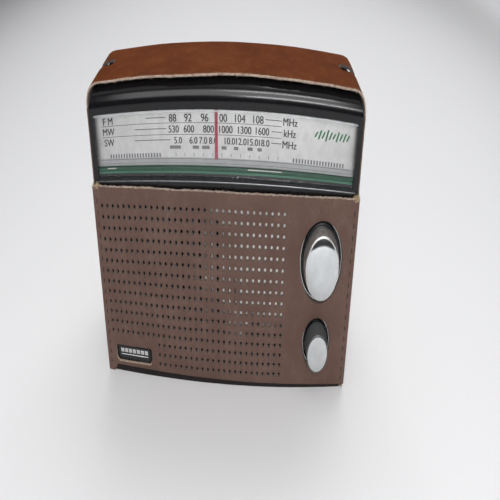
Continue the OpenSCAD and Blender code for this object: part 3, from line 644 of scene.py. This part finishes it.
def front_panel():
    holes = []
    for row in range(HOLE_ROWS):
        z = FIRST_HOLE_Z - row * HOLE_PITCH
        for col in range(0 if row < HOLE_ROWS - SHORT_ROWS else SHORT_COLS, HOLE_COLS):
            holes.append(circle(FIRST_HOLE_X + col * HOLE_PITCH, z, HOLE_R, PUNCH_STEPS))
    holes.append(circle(KNOB_X, TUNE_Z, TUNE_HOLE_R, 96))
    holes.append(circle(KNOB_X, VOL_Z, VOL_HOLE_R, 72))
    window = stepped(rounded(BADGE_LOW.x - 1.4 * MM, BADGE_HIGH.x + 1.4 * MM, BADGE_LOW.z - 0.5 * MM,
                             BADGE_HIGH.z + 0.6 * MM, 3.2 * MM, 1.8 * MM, 6), 2 * MM)
    holes.append(window)
    foot = [(u * MM, fold_height(u * MM)) for u in range(-103, 112, 6)]
    outline = [(-CASE_X, 0.0), (-106.5 * MM, 0.0)] + foot
    outline += [(CASE_X, fold_height(CASE_X)), (CASE_X, PANEL_HIGH.z), (-CASE_X, PANEL_HIGH.z)]
    leather_piece("front_panel_leather", stepped(outline, 0.9 * MM), holes, front_point, "leather_taupe",
                  spacing=HOLE_PITCH / 2, raw=[window], hides=["case_front_panel"])
    for side, name in ((-1, "left"), (1, "right")):
        seam = [front_point(side * (CASE_X - 3.6 * MM), z * MM, 0) for z in range(4, 89, 4)]
        stitches(f"front_stitches_{name}", seam, Vector((0, -1, 0)), length=2.7 * MM, gap=2.6 * MM,
                 r=0.5 * MM)
        corner = [front_point(side * (CASE_X - d * MM), PANEL_HIGH.z - 0.5 * MM, LEATHER / 2)
                  for d in (0.6, 3, 6)]
        fray(f"glue_{name}", corner, Vector((0, -0.2, 0.9)), (0.8 * MM, 0.9 * MM, 0.7 * MM), 900, 2.2 * MM,
             material="glue", r=0.16 * MM)
    sill = [front_point(u, v, LEATHER / 2) for u, v in window if v < BADGE_LOW.z + 1.5 * MM]
    sill.sort(key=lambda at: at.x)
    fray("window_fibres", sill, Vector((0, 0, 1)), (0, 0.6 * MM, 0.15 * MM), 700, 0.7 * MM)
    top = [front_point(u * MM, PANEL_HIGH.z - 0.2 * MM, LEATHER / 2) for u in range(-111, 112, 3)]
    fray("panel_fibres", top, Vector((0, -0.3, 0.6)), (0, 0.7 * MM, 0.1 * MM), 2600, 0.9 * MM)


def welt():
    """Near-black strip under the front panel: a dark sheet that stands in for the shadow in the gap there, a
    painted shadow.
    """
    outline = stepped(rounded(0.8 * MM - CASE_X, CASE_X - 0.8 * MM, 0, 5 * MM, 0.3 * MM, 0.3 * MM), 4 * MM)
    outer_y = PANEL_HIGH.y - 0.9 * MM
    leather_piece("panel_shadow_welt", outline, [], lambda u, v, depth: Vector((u, outer_y + depth, v)),
                  "leather_dark", thick=0.8 * MM, face="welt")


front_panel()
welt()

# The side walls and the top band are one strip. It is laid out flat with s along the case's outline, from the
# left foot over the top to the right foot, and v from front to back.
ARCH_FOOT = 1.8 * MM
ARCH_RISE = CASE_TOP - BAND_R - ARCH_FOOT
ARCH_BEND = BAND_R * math.pi / 2
ARCH_SPAN = 2 * (CASE_X - BAND_R)
ARCH_LENGTH = 2 * (ARCH_RISE + ARCH_BEND) + ARCH_SPAN
SLOT_START, SLOT_END = ARCH_RISE + 2 * MM, ARCH_RISE + ARCH_BEND + 0.5 * MM
FOLD_R = 2 * MM
FOLD_Y = REAR_Y - FOLD_R


def arch_base(s):
    """Point (x, z) and outward direction on the case's outline, at s along it."""
    if s > ARCH_LENGTH / 2:
        (x, z), (nx, nz) = arch_base(ARCH_LENGTH - s)
        return (-x, z), (-nx, nz)
    if s <= ARCH_RISE:
        return (-CASE_X, ARCH_FOOT + s), (-1.0, 0.0)
    if s <= ARCH_RISE + ARCH_BEND:
        turn = math.pi - (s - ARCH_RISE) / BAND_R
        out = (math.cos(turn), math.sin(turn))
        full = BAND_R + 1.3 * MM * math.sin(2 * (math.pi - turn)) ** 2
        return (-CASE_X + BAND_R + out[0] * full, CASE_TOP - BAND_R + out[1] * full), out
    return (-CASE_X + BAND_R + s - ARCH_RISE - ARCH_BEND, CASE_TOP), (0.0, 1.0)


def arch_point(s, v, depth):
    """The strip's point in space. Past FOLD_Y it folds down behind the band."""
    (x, z), (nx, nz) = arch_base(s)
    behind = v - BAND_LOW.y
    on_top = max(0.0, min(1.0, (s - ARCH_RISE) / ARCH_BEND, (ARCH_LENGTH - ARCH_RISE - s) / ARCH_BEND))
    ease = on_top * max(0.0, min(1.0, 1 - behind / (20 * MM)))
    edge = ease * (wobble(s, 0, 5.5, size=38 * MM, amount=1.6 * MM)
                   + wobble(s, 0, 2.2, size=9 * MM, amount=0.4 * MM))
    depth *= 0.6 + 0.4 * max(0.0, min(1.0, behind / (4 * MM)))
    if v < BAND_LOW.y + 1 * MM:
        edge += (wobble(s, depth, 6.1, size=2.4 * MM, amount=0.3 * MM)
                 + wobble(s, depth, 3.9, size=0.9 * MM, amount=0.25 * MM))
    height = -0.25 * MM * on_top + wobble(s, v, 9.1, size=40 * MM, amount=0.25 * MM) - 0.1 * MM
    y = v + edge
    if v > FOLD_Y and on_top > 0:
        turn = min(math.pi / 2, (v - FOLD_Y) / FOLD_R)
        y = FOLD_Y + (FOLD_R - depth) * math.sin(turn)
        height += (FOLD_R - depth) * math.cos(turn) - FOLD_R - max(0.0, v - FOLD_Y - FOLD_R * math.pi / 2)
    else:
        height -= depth
    return Vector((x + nx * height, y, z + nz * height))


def mirrored(points):
    """The strip's other half, in an order that joins on to the first."""
    return [(ARCH_LENGTH - s, v) for s, v in reversed(points)]


def arch_holes():
    """The two strap slots, the power jack on the left, and the earphone jack and band switch on the right."""
    slot = arc(SLOT_END, SLOT_Y, SLOT_R, -90, 90, 10)
    slot += [(SLOT_START, SLOT_Y + SLOT_R), (SLOT_START, SLOT_Y - SLOT_R)]
    left_y, left_z, left_r = POWER_JACK
    right_y, right_z, right_r = EARPHONE_JACK
    (low_y, low_z), (high_y, high_z) = BAND_SLOT
    switch = rounded(ARCH_LENGTH - high_z + ARCH_FOOT, ARCH_LENGTH - low_z + ARCH_FOOT, low_y, high_y,
                     1 * MM, 1 * MM, 3)
    return [stepped(slot, 2 * MM), stepped(mirrored(slot), 2 * MM),
            circle(left_z - ARCH_FOOT, left_y, left_r, 32),
            circle(ARCH_LENGTH - right_z + ARCH_FOOT, right_y, right_r, 28),
            stepped(switch, 2 * MM)]


def arch():
    front, back = PANEL_HIGH.y, FRAME_LOW.y
    to_panel = PANEL_HIGH.z - ARCH_FOOT
    to_rebate = FRAME_HIGH.z - ARCH_FOOT
    tab = REAR_Y + 8.5 * MM
    over = ARCH_RISE + ARCH_BEND + 1.5 * MM
    half = [(0, front), (to_panel, front), (to_panel + 1.6 * MM, BAND_LOW.y)]
    rear = [(over + 3 * MM, tab), (over, tab - 3 * MM), (over - 1 * MM, REAR_Y), (to_rebate, REAR_Y),
            (to_rebate, back), (0, back)]
    outline = stepped(half + mirrored(half) + mirrored(rear) + rear, 1.0 * MM)
    leather_piece("arch_leather", outline, arch_holes(), arch_point, "leather_cognac", spacing=3.5 * MM,
                  rim=0.5 * MM, dull_below=CASE_TOP - 10 * MM,
                  hides=["case_top_band", "case_left_gusset", "case_right_gusset"])

    # Near-black linings just inside the strap slots: painted shade in the slots.
    patch = rounded(SLOT_START - 2 * MM, SLOT_END + 7 * MM, -10 * MM, 4 * MM, 1 * MM, 1 * MM)
    patch = stepped(patch, 1.5 * MM)
    for name, loop in (("left", patch), ("right", mirrored(patch))):
        leather_piece(f"slot_shade_lining_{name}", loop, [], lambda s, v, d: arch_point(s, v, d + LEATHER + 1 * MM),
                      "leather_dark", thick=0.4 * MM, rim=0.1 * MM, spacing=3 * MM, face="hollow")

    start, count = ARCH_RISE - 8 * MM, 160
    top = [arch_point(start + (ARCH_LENGTH - 2 * start) * i / count, BAND_LOW.y + 0.2 * MM, LEATHER / 2)
           for i in range(count + 1)]
    fray("band_fibres", top, Vector((0, -0.9, 0.2)), (0.1 * MM, 0.1 * MM, 0.7 * MM), 3000, 0.8 * MM)
    for name, side, first, last in (
            ("left", -1, 4 * MM, ARCH_RISE - 14 * MM),
            ("right", 1, ARCH_LENGTH - ARCH_RISE + 14 * MM, ARCH_LENGTH - 4 * MM)):
        seam = [arch_point(first + (last - first) * i / 30, back - 3.2 * MM, 0) for i in range(31)]
        stitches(f"side_stitches_{name}_rear", seam, Vector((side, 0, 0)))


arch()


def back_frame_point(u, v, depth):
    slack = wobble(u, v, 4.4, size=40 * MM, amount=0.2 * MM) - 0.15 * MM
    return Vector((-u, FRAME_HIGH.y - depth + min(0.0, slack), v))


def flap_point(u, v, depth):
    slack = wobble(u, v, 8.2, size=50 * MM, amount=0.35 * MM) - 0.3 * MM
    free = min(1.0, (MARGIN_LOW.z - v) / (20 * MM)) if v < MARGIN_LOW.z else 0
    return Vector((-u, FLAP_HIGH.y - depth + min(0.0, slack) * free, v))


def back():
    """Back frame with its window, and the flap, which is sewn on by its margin."""
    outline = stepped(rounded(-CASE_X, CASE_X, 0, FRAME_HIGH.z, 2 * MM, 2 * MM), 4 * MM)
    window = stepped(rounded(-104.5 * MM, 104.5 * MM, 20 * MM, 96 * MM, 5 * MM, 5 * MM), 4 * MM)
    leather_piece("back_frame_leather", outline, [window], back_frame_point, "leather_dark",
                  hides=["case_back_frame"])
    outline = rounded(-FLAP_HIGH.x, FLAP_HIGH.x, FLAP_LOW.z, MARGIN_HIGH.z, 12 * MM, 1 * MM, 10)
    studs = [circle(side * STUD_X, STUD_Z, STUD_R, 24) for side in (-1, 1)]
    flap = leather_piece("back_flap_leather", stepped(outline, 3 * MM), studs, flap_point, "leather_taupe",
                         spacing=2.5 * MM, body=None, hides=["case_back_flap", "case_flap_margin"])
    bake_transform(flap)

    out = Vector((0, 1, 0))
    for row, z in (("upper", MARGIN_HIGH.z - 1.6 * MM), ("lower", MARGIN_HIGH.z - 3.8 * MM)):
        stitches(f"margin_stitches_{row}", [flap_point(u * MM, z, 0) for u in range(-105, 106, 5)], out)
    side, low, turn = FLAP_HIGH.x - 3.5 * MM, FLAP_LOW.z + 3.5 * MM, 8.5 * MM
    hem = [(-side, z * MM) for z in range(93, 22, -4)]
    hem += arc(-side + turn, low + turn, turn, 180, 270, 8)
    hem += [(x * MM, low) for x in range(-94, 95, 4)]
    hem += arc(side - turn, low + turn, turn, 270, 360, 8)
    hem += [(side, z * MM) for z in range(22, 94, 4)]
    stitches("flap_stitches", [flap_point(u, v, 0) for u, v in hem], out, body="flap")
    for name, side in (("left", -1), ("right", 1)):
        seam = [back_frame_point(side * (CASE_X - 2.2 * MM), z * MM, 0) for z in range(5, 107, 4)]
        stitches(f"frame_stitches_{name}", seam, out, r=0.35 * MM)


back()


# ---- dial ----

def block_mesh(low, high, bevel, segments=3):
    """Points and faces of a box with rounded edges, and for each face whether it is part of the rounding."""
    shape = bmesh.new()
    bmesh.ops.create_cube(shape, size=1.0)
    for v in shape.verts:
        v.co = Vector((low[i] + (v.co[i] + 0.5) * (high[i] - low[i]) for i in range(3)))
    bmesh.ops.bevel(shape, geom=shape.edges[:], offset=bevel, segments=segments, profile=0.5, affect="EDGES")
    bmesh.ops.recalc_face_normals(shape, faces=shape.faces)
    points = [v.co.copy() for v in shape.verts]
    faces = [tuple(v.index for v in f.verts) for f in shape.faces]
    rims = [max(abs(c) for c in f.normal) < 0.99 for f in shape.faces]
    shape.free()
    return points, faces, rims


def blocks(name, boxes, material, bevel=0.02 * MM, **more):
    """Several small rounded blocks in one piece; each box is (low corner, high corner)."""
    points, faces = [], []
    for low, high in boxes:
        p, f, _ = block_mesh(low, high, bevel, 1)
        faces += [tuple(len(points) + i for i in face) for face in f]
        points += p
    return piece(name, points, faces, [material], angle=30, **more)


PRINT_Y = PLATE_LOW.y
PRINT_T = 0.03 * MM
CAP_HEIGHT = 0.72       # height of a capital letter, as a share of the font's size
STRETCH = 1.45          # how much wider than the font the dial's letters are


def dial_face():
    """Silver plate and the lens before it, whose ground edges, all but those along its foot, get a pale
    colour as a painted highlight.
    """
    points, faces, _ = block_mesh(PLATE_LOW, PLATE_HIGH, 0.25 * MM)
    piece("dial_face", points, faces, ["dial_silver"], slot="dial_silver", hides=["dial_plate"])
    points, faces, rims = block_mesh(LENS_LOW, LENS_HIGH, 0.6 * MM, 4)
    foot = LENS_LOW.z + 1 * MM
    lit = [int(rim and min(points[i].z for i in face) > foot) for rim, face in zip(rims, faces)]
    piece("lens", points, faces, ["clear_lens", "clear_edge"], slot="clear_lens", shades=lit, angle=20,
          hides=["dial_lens"])


def lettering(name, words, material, bold=0.24 * MM):
    """Flat print on the dial. Each word is (text, x, z, height) in millimetres. Three copies, spread over the
    width of bold, thicken the strokes."""
    points, faces = [], []
    extrude = 0.01
    flatten = 0.5 / extrude
    for text, x, z, height in words:
        data = bpy.data.curves.new("word", "FONT")
        data.body = text
        data.align_x = "CENTER"
        data.size = 1.0
        data.resolution_u = 4
        data.extrude = extrude
        holder = put("word", data)
        bpy.context.view_layer.update()
        mesh = bpy.data.meshes.new_from_object(holder)
        scale = height / CAP_HEIGHT * MM
        for shift in (-0.5, 0, 0.5):
            first = len(points)
            points += [Vector((x * MM + v.co.x * scale * STRETCH + shift * bold,
                               PRINT_Y - PRINT_T / 2 - v.co.z * PRINT_T * flatten,
                               z * MM - height / 2 * MM + v.co.y * scale)) for v in mesh.vertices]
            faces += [tuple(first + i for i in p.vertices) for p in mesh.polygons]
        bpy.data.objects.remove(holder)
        bpy.data.curves.remove(data)
        bpy.data.meshes.remove(mesh)
    return piece(name, points, faces, [material], slot="dial_silver", angle=10)


def strip(x0, x1, z0, z1):
    """A printed bar on the dial, in millimetres."""
    return ((x0 * MM, PRINT_Y - PRINT_T, z0 * MM), (x1 * MM, PRINT_Y, z1 * MM))


def dial_print():
    fm_z, mw_z, sw_z = 116.0, 111.7, 107.3
    words = []
    for z, tall, figures, places in (
            (fm_z, 3.1, "88 92 96 100 104 108", (-39.5, -27.2, -14.1, -1.1, 13.0, 27.1)),
            (mw_z, 2.9, "530 600 800 1000 1300 1600", (-39.0, -26.7, -11.1, 2.0, 16.6, 30.4)),
            (sw_z, 2.7, "5.0 6.0 7.0 8.0 10.0 12.0 15.0 18.0",
             (-35.7, -23.3, -15.5, -7.6, 5.1, 14.1, 23.1, 32.0))):
        words += [(text, x, z, tall) for text, x in zip(figures.split(), places)]
    lettering("dial_figures", words, "print_dark")
    words = [("F M", -95, fm_z, 3.1), ("MW", -95, mw_z, 3.0), ("SW", -95, sw_z, 3.0)]
    words += [(unit, 52.3, z, 3.0) for unit, z in (("MHz", fm_z), ("kHz", mw_z), ("MHz", sw_z))]
    lettering("dial_bands", words, "print_dark")
    line = 0.28
    lines = [strip(-101, 46, z, z + line * 0.7) for z in (113.9, 109.4)]
    lines += [strip(x0, x1, z, z + line) for x0, x1, z in (
        (-62, -45, fm_z), (33, 46, fm_z), (-72, -45, mw_z), (38, 46, mw_z), (-72, -42, sw_z), (38, 46, sw_z))]
    blocks("dial_lines", lines, "print_dark", slot="dial_silver")
    bars = [strip(x - w / 2, x + w / 2, 103.9, 105.2) for x, w in (
        (-38, 9), (-21.5, 5), (-13.5, 6), (1, 4), (10.5, 3.5), (21.5, 4), (29, 3.5))]
    bars += [strip(-95 + 2.4 * i, -93.7 + 2.4 * i, 100.6, 102.3) for i in range(19)]
    bars += [strip(55.5 + 2.4 * i, 56.8 + 2.4 * i, 100.6, 102.3) for i in range(18)]
    bars += [strip(-38 + 7.4 * i, -37.6 + 7.4 * i, 101.0, 102.4) for i in range(12)]
    blocks("dial_bars", bars, "print_grey", slot="dial_silver")
    slants = []
    for i, half in enumerate((1.1, 1.8, 1.3, 2.3, 1.5, 1.1, 2.0, 1.4, 1.7, 1.2)):
        slants += [strip(72 + 2.9 * i + 0.35 * t, 73.3 + 2.9 * i + 0.35 * t, 112.6 + half * (t - 3) / 3,
                         112.6 + half * (t - 2) / 3) for t in range(6)]
    blocks("dial_mark", slants, "print_green", slot="dial_silver")
    rules = [strip(-104, 104, z, z + t) for z, t in ((99.9, 0.25), (98.3, 0.18))]
    blocks("dial_rules", rules, "print_grey", slot="dial_silver")
    shade = ((-106.5 * MM, PRINT_Y - 0.5 * PRINT_T, 97.4 * MM), (106.5 * MM, PRINT_Y, 100.5 * MM))
    blocks("dial_shade", [shade], "dial_shade", slot="dial_silver")


def dial_stripe():
    """Green strip under the scale, with a pale line along its foot, over a black ledge."""
    line_low, line_high = 94.6 * MM, 95.45 * MM
    for name, low, high, material, hides in (
            ("stripe_ledge", TRIM_LOW.z, line_low, "ledge_grey", ()),
            ("stripe_line", line_low, line_high, "stripe_pale", ()),
            ("stripe_green", line_high, TRIM_HIGH.z, "dial_green", ["dial_trim"])):
        points, faces, _ = block_mesh((TRIM_LOW.x, TRIM_LOW.y, low), (TRIM_HIGH.x, TRIM_HIGH.y, high),
                                      0.22 * MM)
        piece(name, points, faces, [material], slot="dial_green", hides=hides)


def lower_lip():
    """Rounded foot of the fascia, and the two dashes on the strip above it."""
    points, faces = [], []
    steps, r, x = 12, 0.55 * MM, CASE_X - 4 * MM
    y, z = PANEL_HIGH.y + 0.6 * MM, PANEL_HIGH.z + 1.3 * MM
    for k in range(steps):
        t = 2 * math.pi * k / steps
        points += [Vector((side * x, y + r * math.cos(t), z + r * math.sin(t))) for side in (-1, 1)]
        n = (k + 1) % steps
        faces.append((2 * k, 2 * n, 2 * n + 1, 2 * k + 1))
    piece("fascia_lip", points, faces, ["lip"], slot="black_plastic", angle=60)
    y = TRIM_LOW.y
    blocks("stripe_dashes", [((x0 * MM, y - 0.05 * MM, 96.65 * MM), (x1 * MM, y + 0.1 * MM, 97.0 * MM))
                             for x0, x1 in ((-98, -90), (20, 47))], "white_plastic", slot="dial_green")


def pointer():
    """Tinted blade of the pointer, with its darker middle line."""
    low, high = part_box("dial_pointer")
    x, y, top = (low.x + high.x) / 2, low.y, high.z - 3 * MM
    blade = ((x - 1.25 * MM, y - 0.12 * MM, low.z), (x + 1.25 * MM, y - 0.02 * MM, top))
    line = ((x - 0.35 * MM, y - 0.16 * MM, low.z + 3 * MM), (x + 0.35 * MM, y - 0.12 * MM, top))
    blocks("pointer_blade", [blade], "pointer_edge", body="pointer", slot="pointer_red")
    blocks("pointer_line", [line], "pointer_red", body="pointer", slot="pointer_red")


dial_face()
dial_print()
dial_stripe()
lower_lip()
pointer()


# ---- knobs and badge ----

def knob(body, low, high, crown, dome, power, side):
    """Silver cap with a rounded rim. Its side leans in towards the face by half of crown, and the face's edge
    lies dome behind its middle, as radius ** power."""
    r, z = (high.x - low.x) / 2, (low.z + high.z) / 2
    back, front = high.y, low.y
    shoulder, rim_in, rim_back = r - crown * 0.55, 0.95 * MM, 0.8 * MM
    socket, socket_floor = r - 1.6 * MM, front + 3.5 * MM
    profile = [(0.0, socket_floor), (socket, socket_floor), (socket, back), (r - 0.25 * MM, back),
               (r, back - 0.3 * MM), (r - 0.25 * MM, back - (back - front) * 0.55),
               (shoulder, front + dome + rim_back)]
    for i in range(1, 7):
        t = math.pi / 2 * i / 6
        profile.append((shoulder - rim_in * (1 - math.cos(t)), front + dome + rim_back * (1 - math.sin(t))))
    face_r = profile[-1][0]
    profile += [(face_r * k, front + dome * k ** power)
                for k in (0.985, 0.95, 0.9, 0.84, 0.77, 0.68, 0.56, 0.4, 0.2, 0.0)]
    points, faces = lathe(profile, (KNOB_X, z))
    shades = []
    for f in faces:
        middle = sum((points[i] for i in f), Vector()) / len(f)
        off_axis = math.hypot(middle.x - KNOB_X, middle.z - z)
        shades.append(0 if middle.y < front + dome and off_axis < face_r else 1)
    piece(f"{body}_cap", points, faces, ["knob_silver", side], body=body, slot="knob_silver", shades=shades,
          angle=30, hides=[f"{body}_knob"])


def badge():
    """Black plate with a bevelled rim, and plain raised bars where a name would be."""
    outline = rounded(BADGE_LOW.x, BADGE_HIGH.x, BADGE_LOW.z, BADGE_HIGH.z, 2.4 * MM, 2.4 * MM, 6)
    front = BADGE_LOW.y
    rings = [[Vector((u, front + back, v)) for u, v in inset(outline, inward)] for inward, back in (
        (0, 0.9 * MM), (0, 0.25 * MM), (0.25 * MM, 0.0), (0.7 * MM, 0.0), (0.85 * MM, 0.2 * MM))]
    points = [p for ring in rings for p in ring]
    n = len(outline)
    faces = [(a * n + i, a * n + (i + 1) % n, (a + 1) * n + (i + 1) % n, (a + 1) * n + i)
             for a in range(len(rings) - 1) for i in range(n)]
    shades = [1] * len(faces) + [0, 0]
    faces += [tuple((len(rings) - 1) * n + i for i in range(n)), tuple(reversed(range(n)))]
    piece("badge", points, faces, ["badge_black", "black_plastic"], slot="badge_black", shades=shades,
          angle=30, hides=["badge_plate"])
    middle = (BADGE_LOW + BADGE_HIGH) / 2
    near, far = front + 0.02 * MM, front + 0.25 * MM
    bars = []
    for i in range(7):
        x = middle.x + (4.0 * (i - 3) - 1.6) * MM
        bars.append(((x, near, middle.z + 0.1 * MM), (x + 3.2 * MM, far, middle.z + 2.2 * MM)))
    bars.append(((middle.x - 13.6 * MM, near, middle.z - 1.3 * MM),
                 (middle.x + 13.6 * MM, far, middle.z - 0.8 * MM)))
    blocks("badge_bars", bars, "badge_rim", bevel=0.08 * MM, slot="nickel")


def well_ring(name, z, r):
    """Moulded bead round a knob's well."""
    bead_r, sides = 0.45 * MM, 12
    bead = [(r + bead_r * math.cos(t), PANEL_HIGH.y + 0.1 * MM - bead_r * math.sin(t))
            for t in (2 * math.pi * i / sides for i in range(sides + 1))]
    points, faces = lathe(bead, (KNOB_X, z))
    piece(name, points, faces, ["badge_rim"], slot="nickel")


well_ring("tuning_well", TUNE_Z, TUNE_WELL_R)
well_ring("volume_well", VOL_Z, VOL_WELL_R)
knob("tuning", TUNE_LOW, TUNE_HIGH, 1.6 * MM, 1.5 * MM, 4, "knob_side")
knob("volume", VOL_LOW, VOL_HIGH, 0.6 * MM, 0.25 * MM, 6, "knob_dark")
badge()


# ---- scene ----

CAMERA_PLACE = Vector((20.2, -278.2, 204.6)) * MM
HALF_WIDTH, HALF_HEIGHT = math.radians(42.1), math.radians(18.97)
TURN, DOWN, ROLL = math.radians(0.54), math.radians(29.4), math.radians(1.8)

# Lamps: name, place, point they face, width and height, watts.
LAMPS = (
    ("key", (0.1, 0.85, 1.25), (0, 0, 0.05), (1.5, 1.0), 8),
    ("ceiling", (-0.2, 0.2, 2.3), (-0.2, 0, 0), (4.0, 3.4), 30),
    ("far", (3.0, 2.6, 1.7), (3.0, 2.6, 0), (2.5, 2.5), 34),
    ("window", (-0.08, -1.36, 1.08), (-0.08, 0, 0.13), (1.35, 0.75), 12),
    ("bulb", (0.16, -0.44, 1.25), (0.09, -0.04, 0), (0.13, 0.13), 0.5),
    ("streak_high", (0.20, -1.23, 1.31), (0.06, 0, 0.13), (0.60, 0.12), 4.2),
    ("streak_low", (0.26, -1.23, 0.63), (0.06, 0, 0.13), (0.55, 0.09), 4.2),
)


def photo_camera():
    """A panoramic camera that takes in 2.2 times more across than up, for the photo's sideways squeeze."""
    data = bpy.data.cameras.new("camera")
    data.type = "PANO"
    data.panorama_type = "EQUIRECTANGULAR"
    data.longitude_min, data.longitude_max = -HALF_WIDTH, HALF_WIDTH
    data.latitude_min, data.latitude_max = -HALF_HEIGHT, HALF_HEIGHT
    camera = put("camera", data)
    ahead = Vector((math.sin(TURN) * math.cos(DOWN), math.cos(TURN) * math.cos(DOWN), -math.sin(DOWN)))
    right = ahead.cross(Vector((0, 0, 1))).normalized()
    up = right.cross(ahead)
    right, up = right * math.cos(ROLL) + up * math.sin(ROLL), up * math.cos(ROLL) - right * math.sin(ROLL)
    turned = Matrix((right, up, -ahead)).transposed().to_4x4()
    camera.matrix_world = Matrix.Translation(CAMERA_PLACE) @ turned
    bpy.context.scene.camera = camera


def area_light(name, place, aim, size, power):
    data = bpy.data.lights.new(name, "AREA")
    data.shape = "RECTANGLE"
    data.size, data.size_y = size
    data.energy = power
    lamp = put(name, data)
    lamp.location = place
    lamp.rotation_euler = (Vector(aim) - Vector(place)).to_track_quat("-Z", "Y").to_euler()


def surroundings():
    """Dim world, the lamps and a pale floor."""
    world = bpy.data.worlds.new("world")
    world.use_nodes = True
    tree = world.node_tree
    back = tree.nodes.get("Background") or tree.nodes.new("ShaderNodeBackground")
    back.inputs["Color"].default_value = (0.93, 0.95, 1.0, 1.0)
    back.inputs["Strength"].default_value = 0.06
    out = tree.nodes.get("World Output") or tree.nodes.new("ShaderNodeOutputWorld")
    tree.links.new(back.outputs[0], out.inputs[0])
    bpy.context.scene.world = world
    for lamp in LAMPS:
        area_light(*lamp)

    s = Shader("floor", (0.80, 0.80, 0.81), 0.7)
    weave = s.noise(2.5 * MM, 3, 0.6)
    s.link(s.mix(weave, (0.79, 0.79, 0.80), (0.82, 0.82, 0.83)), "Base Color")
    s.bump((weave, 0.2 * MM, 0.2))
    mesh = bpy.data.meshes.new("floor")
    grid = bmesh.new()
    bmesh.ops.create_grid(grid, x_segments=8, y_segments=8, size=4.0)
    grid.to_mesh(mesh)
    grid.free()
    mesh.materials.append(s.material)
    put("floor", mesh)


photo_camera()
surroundings()
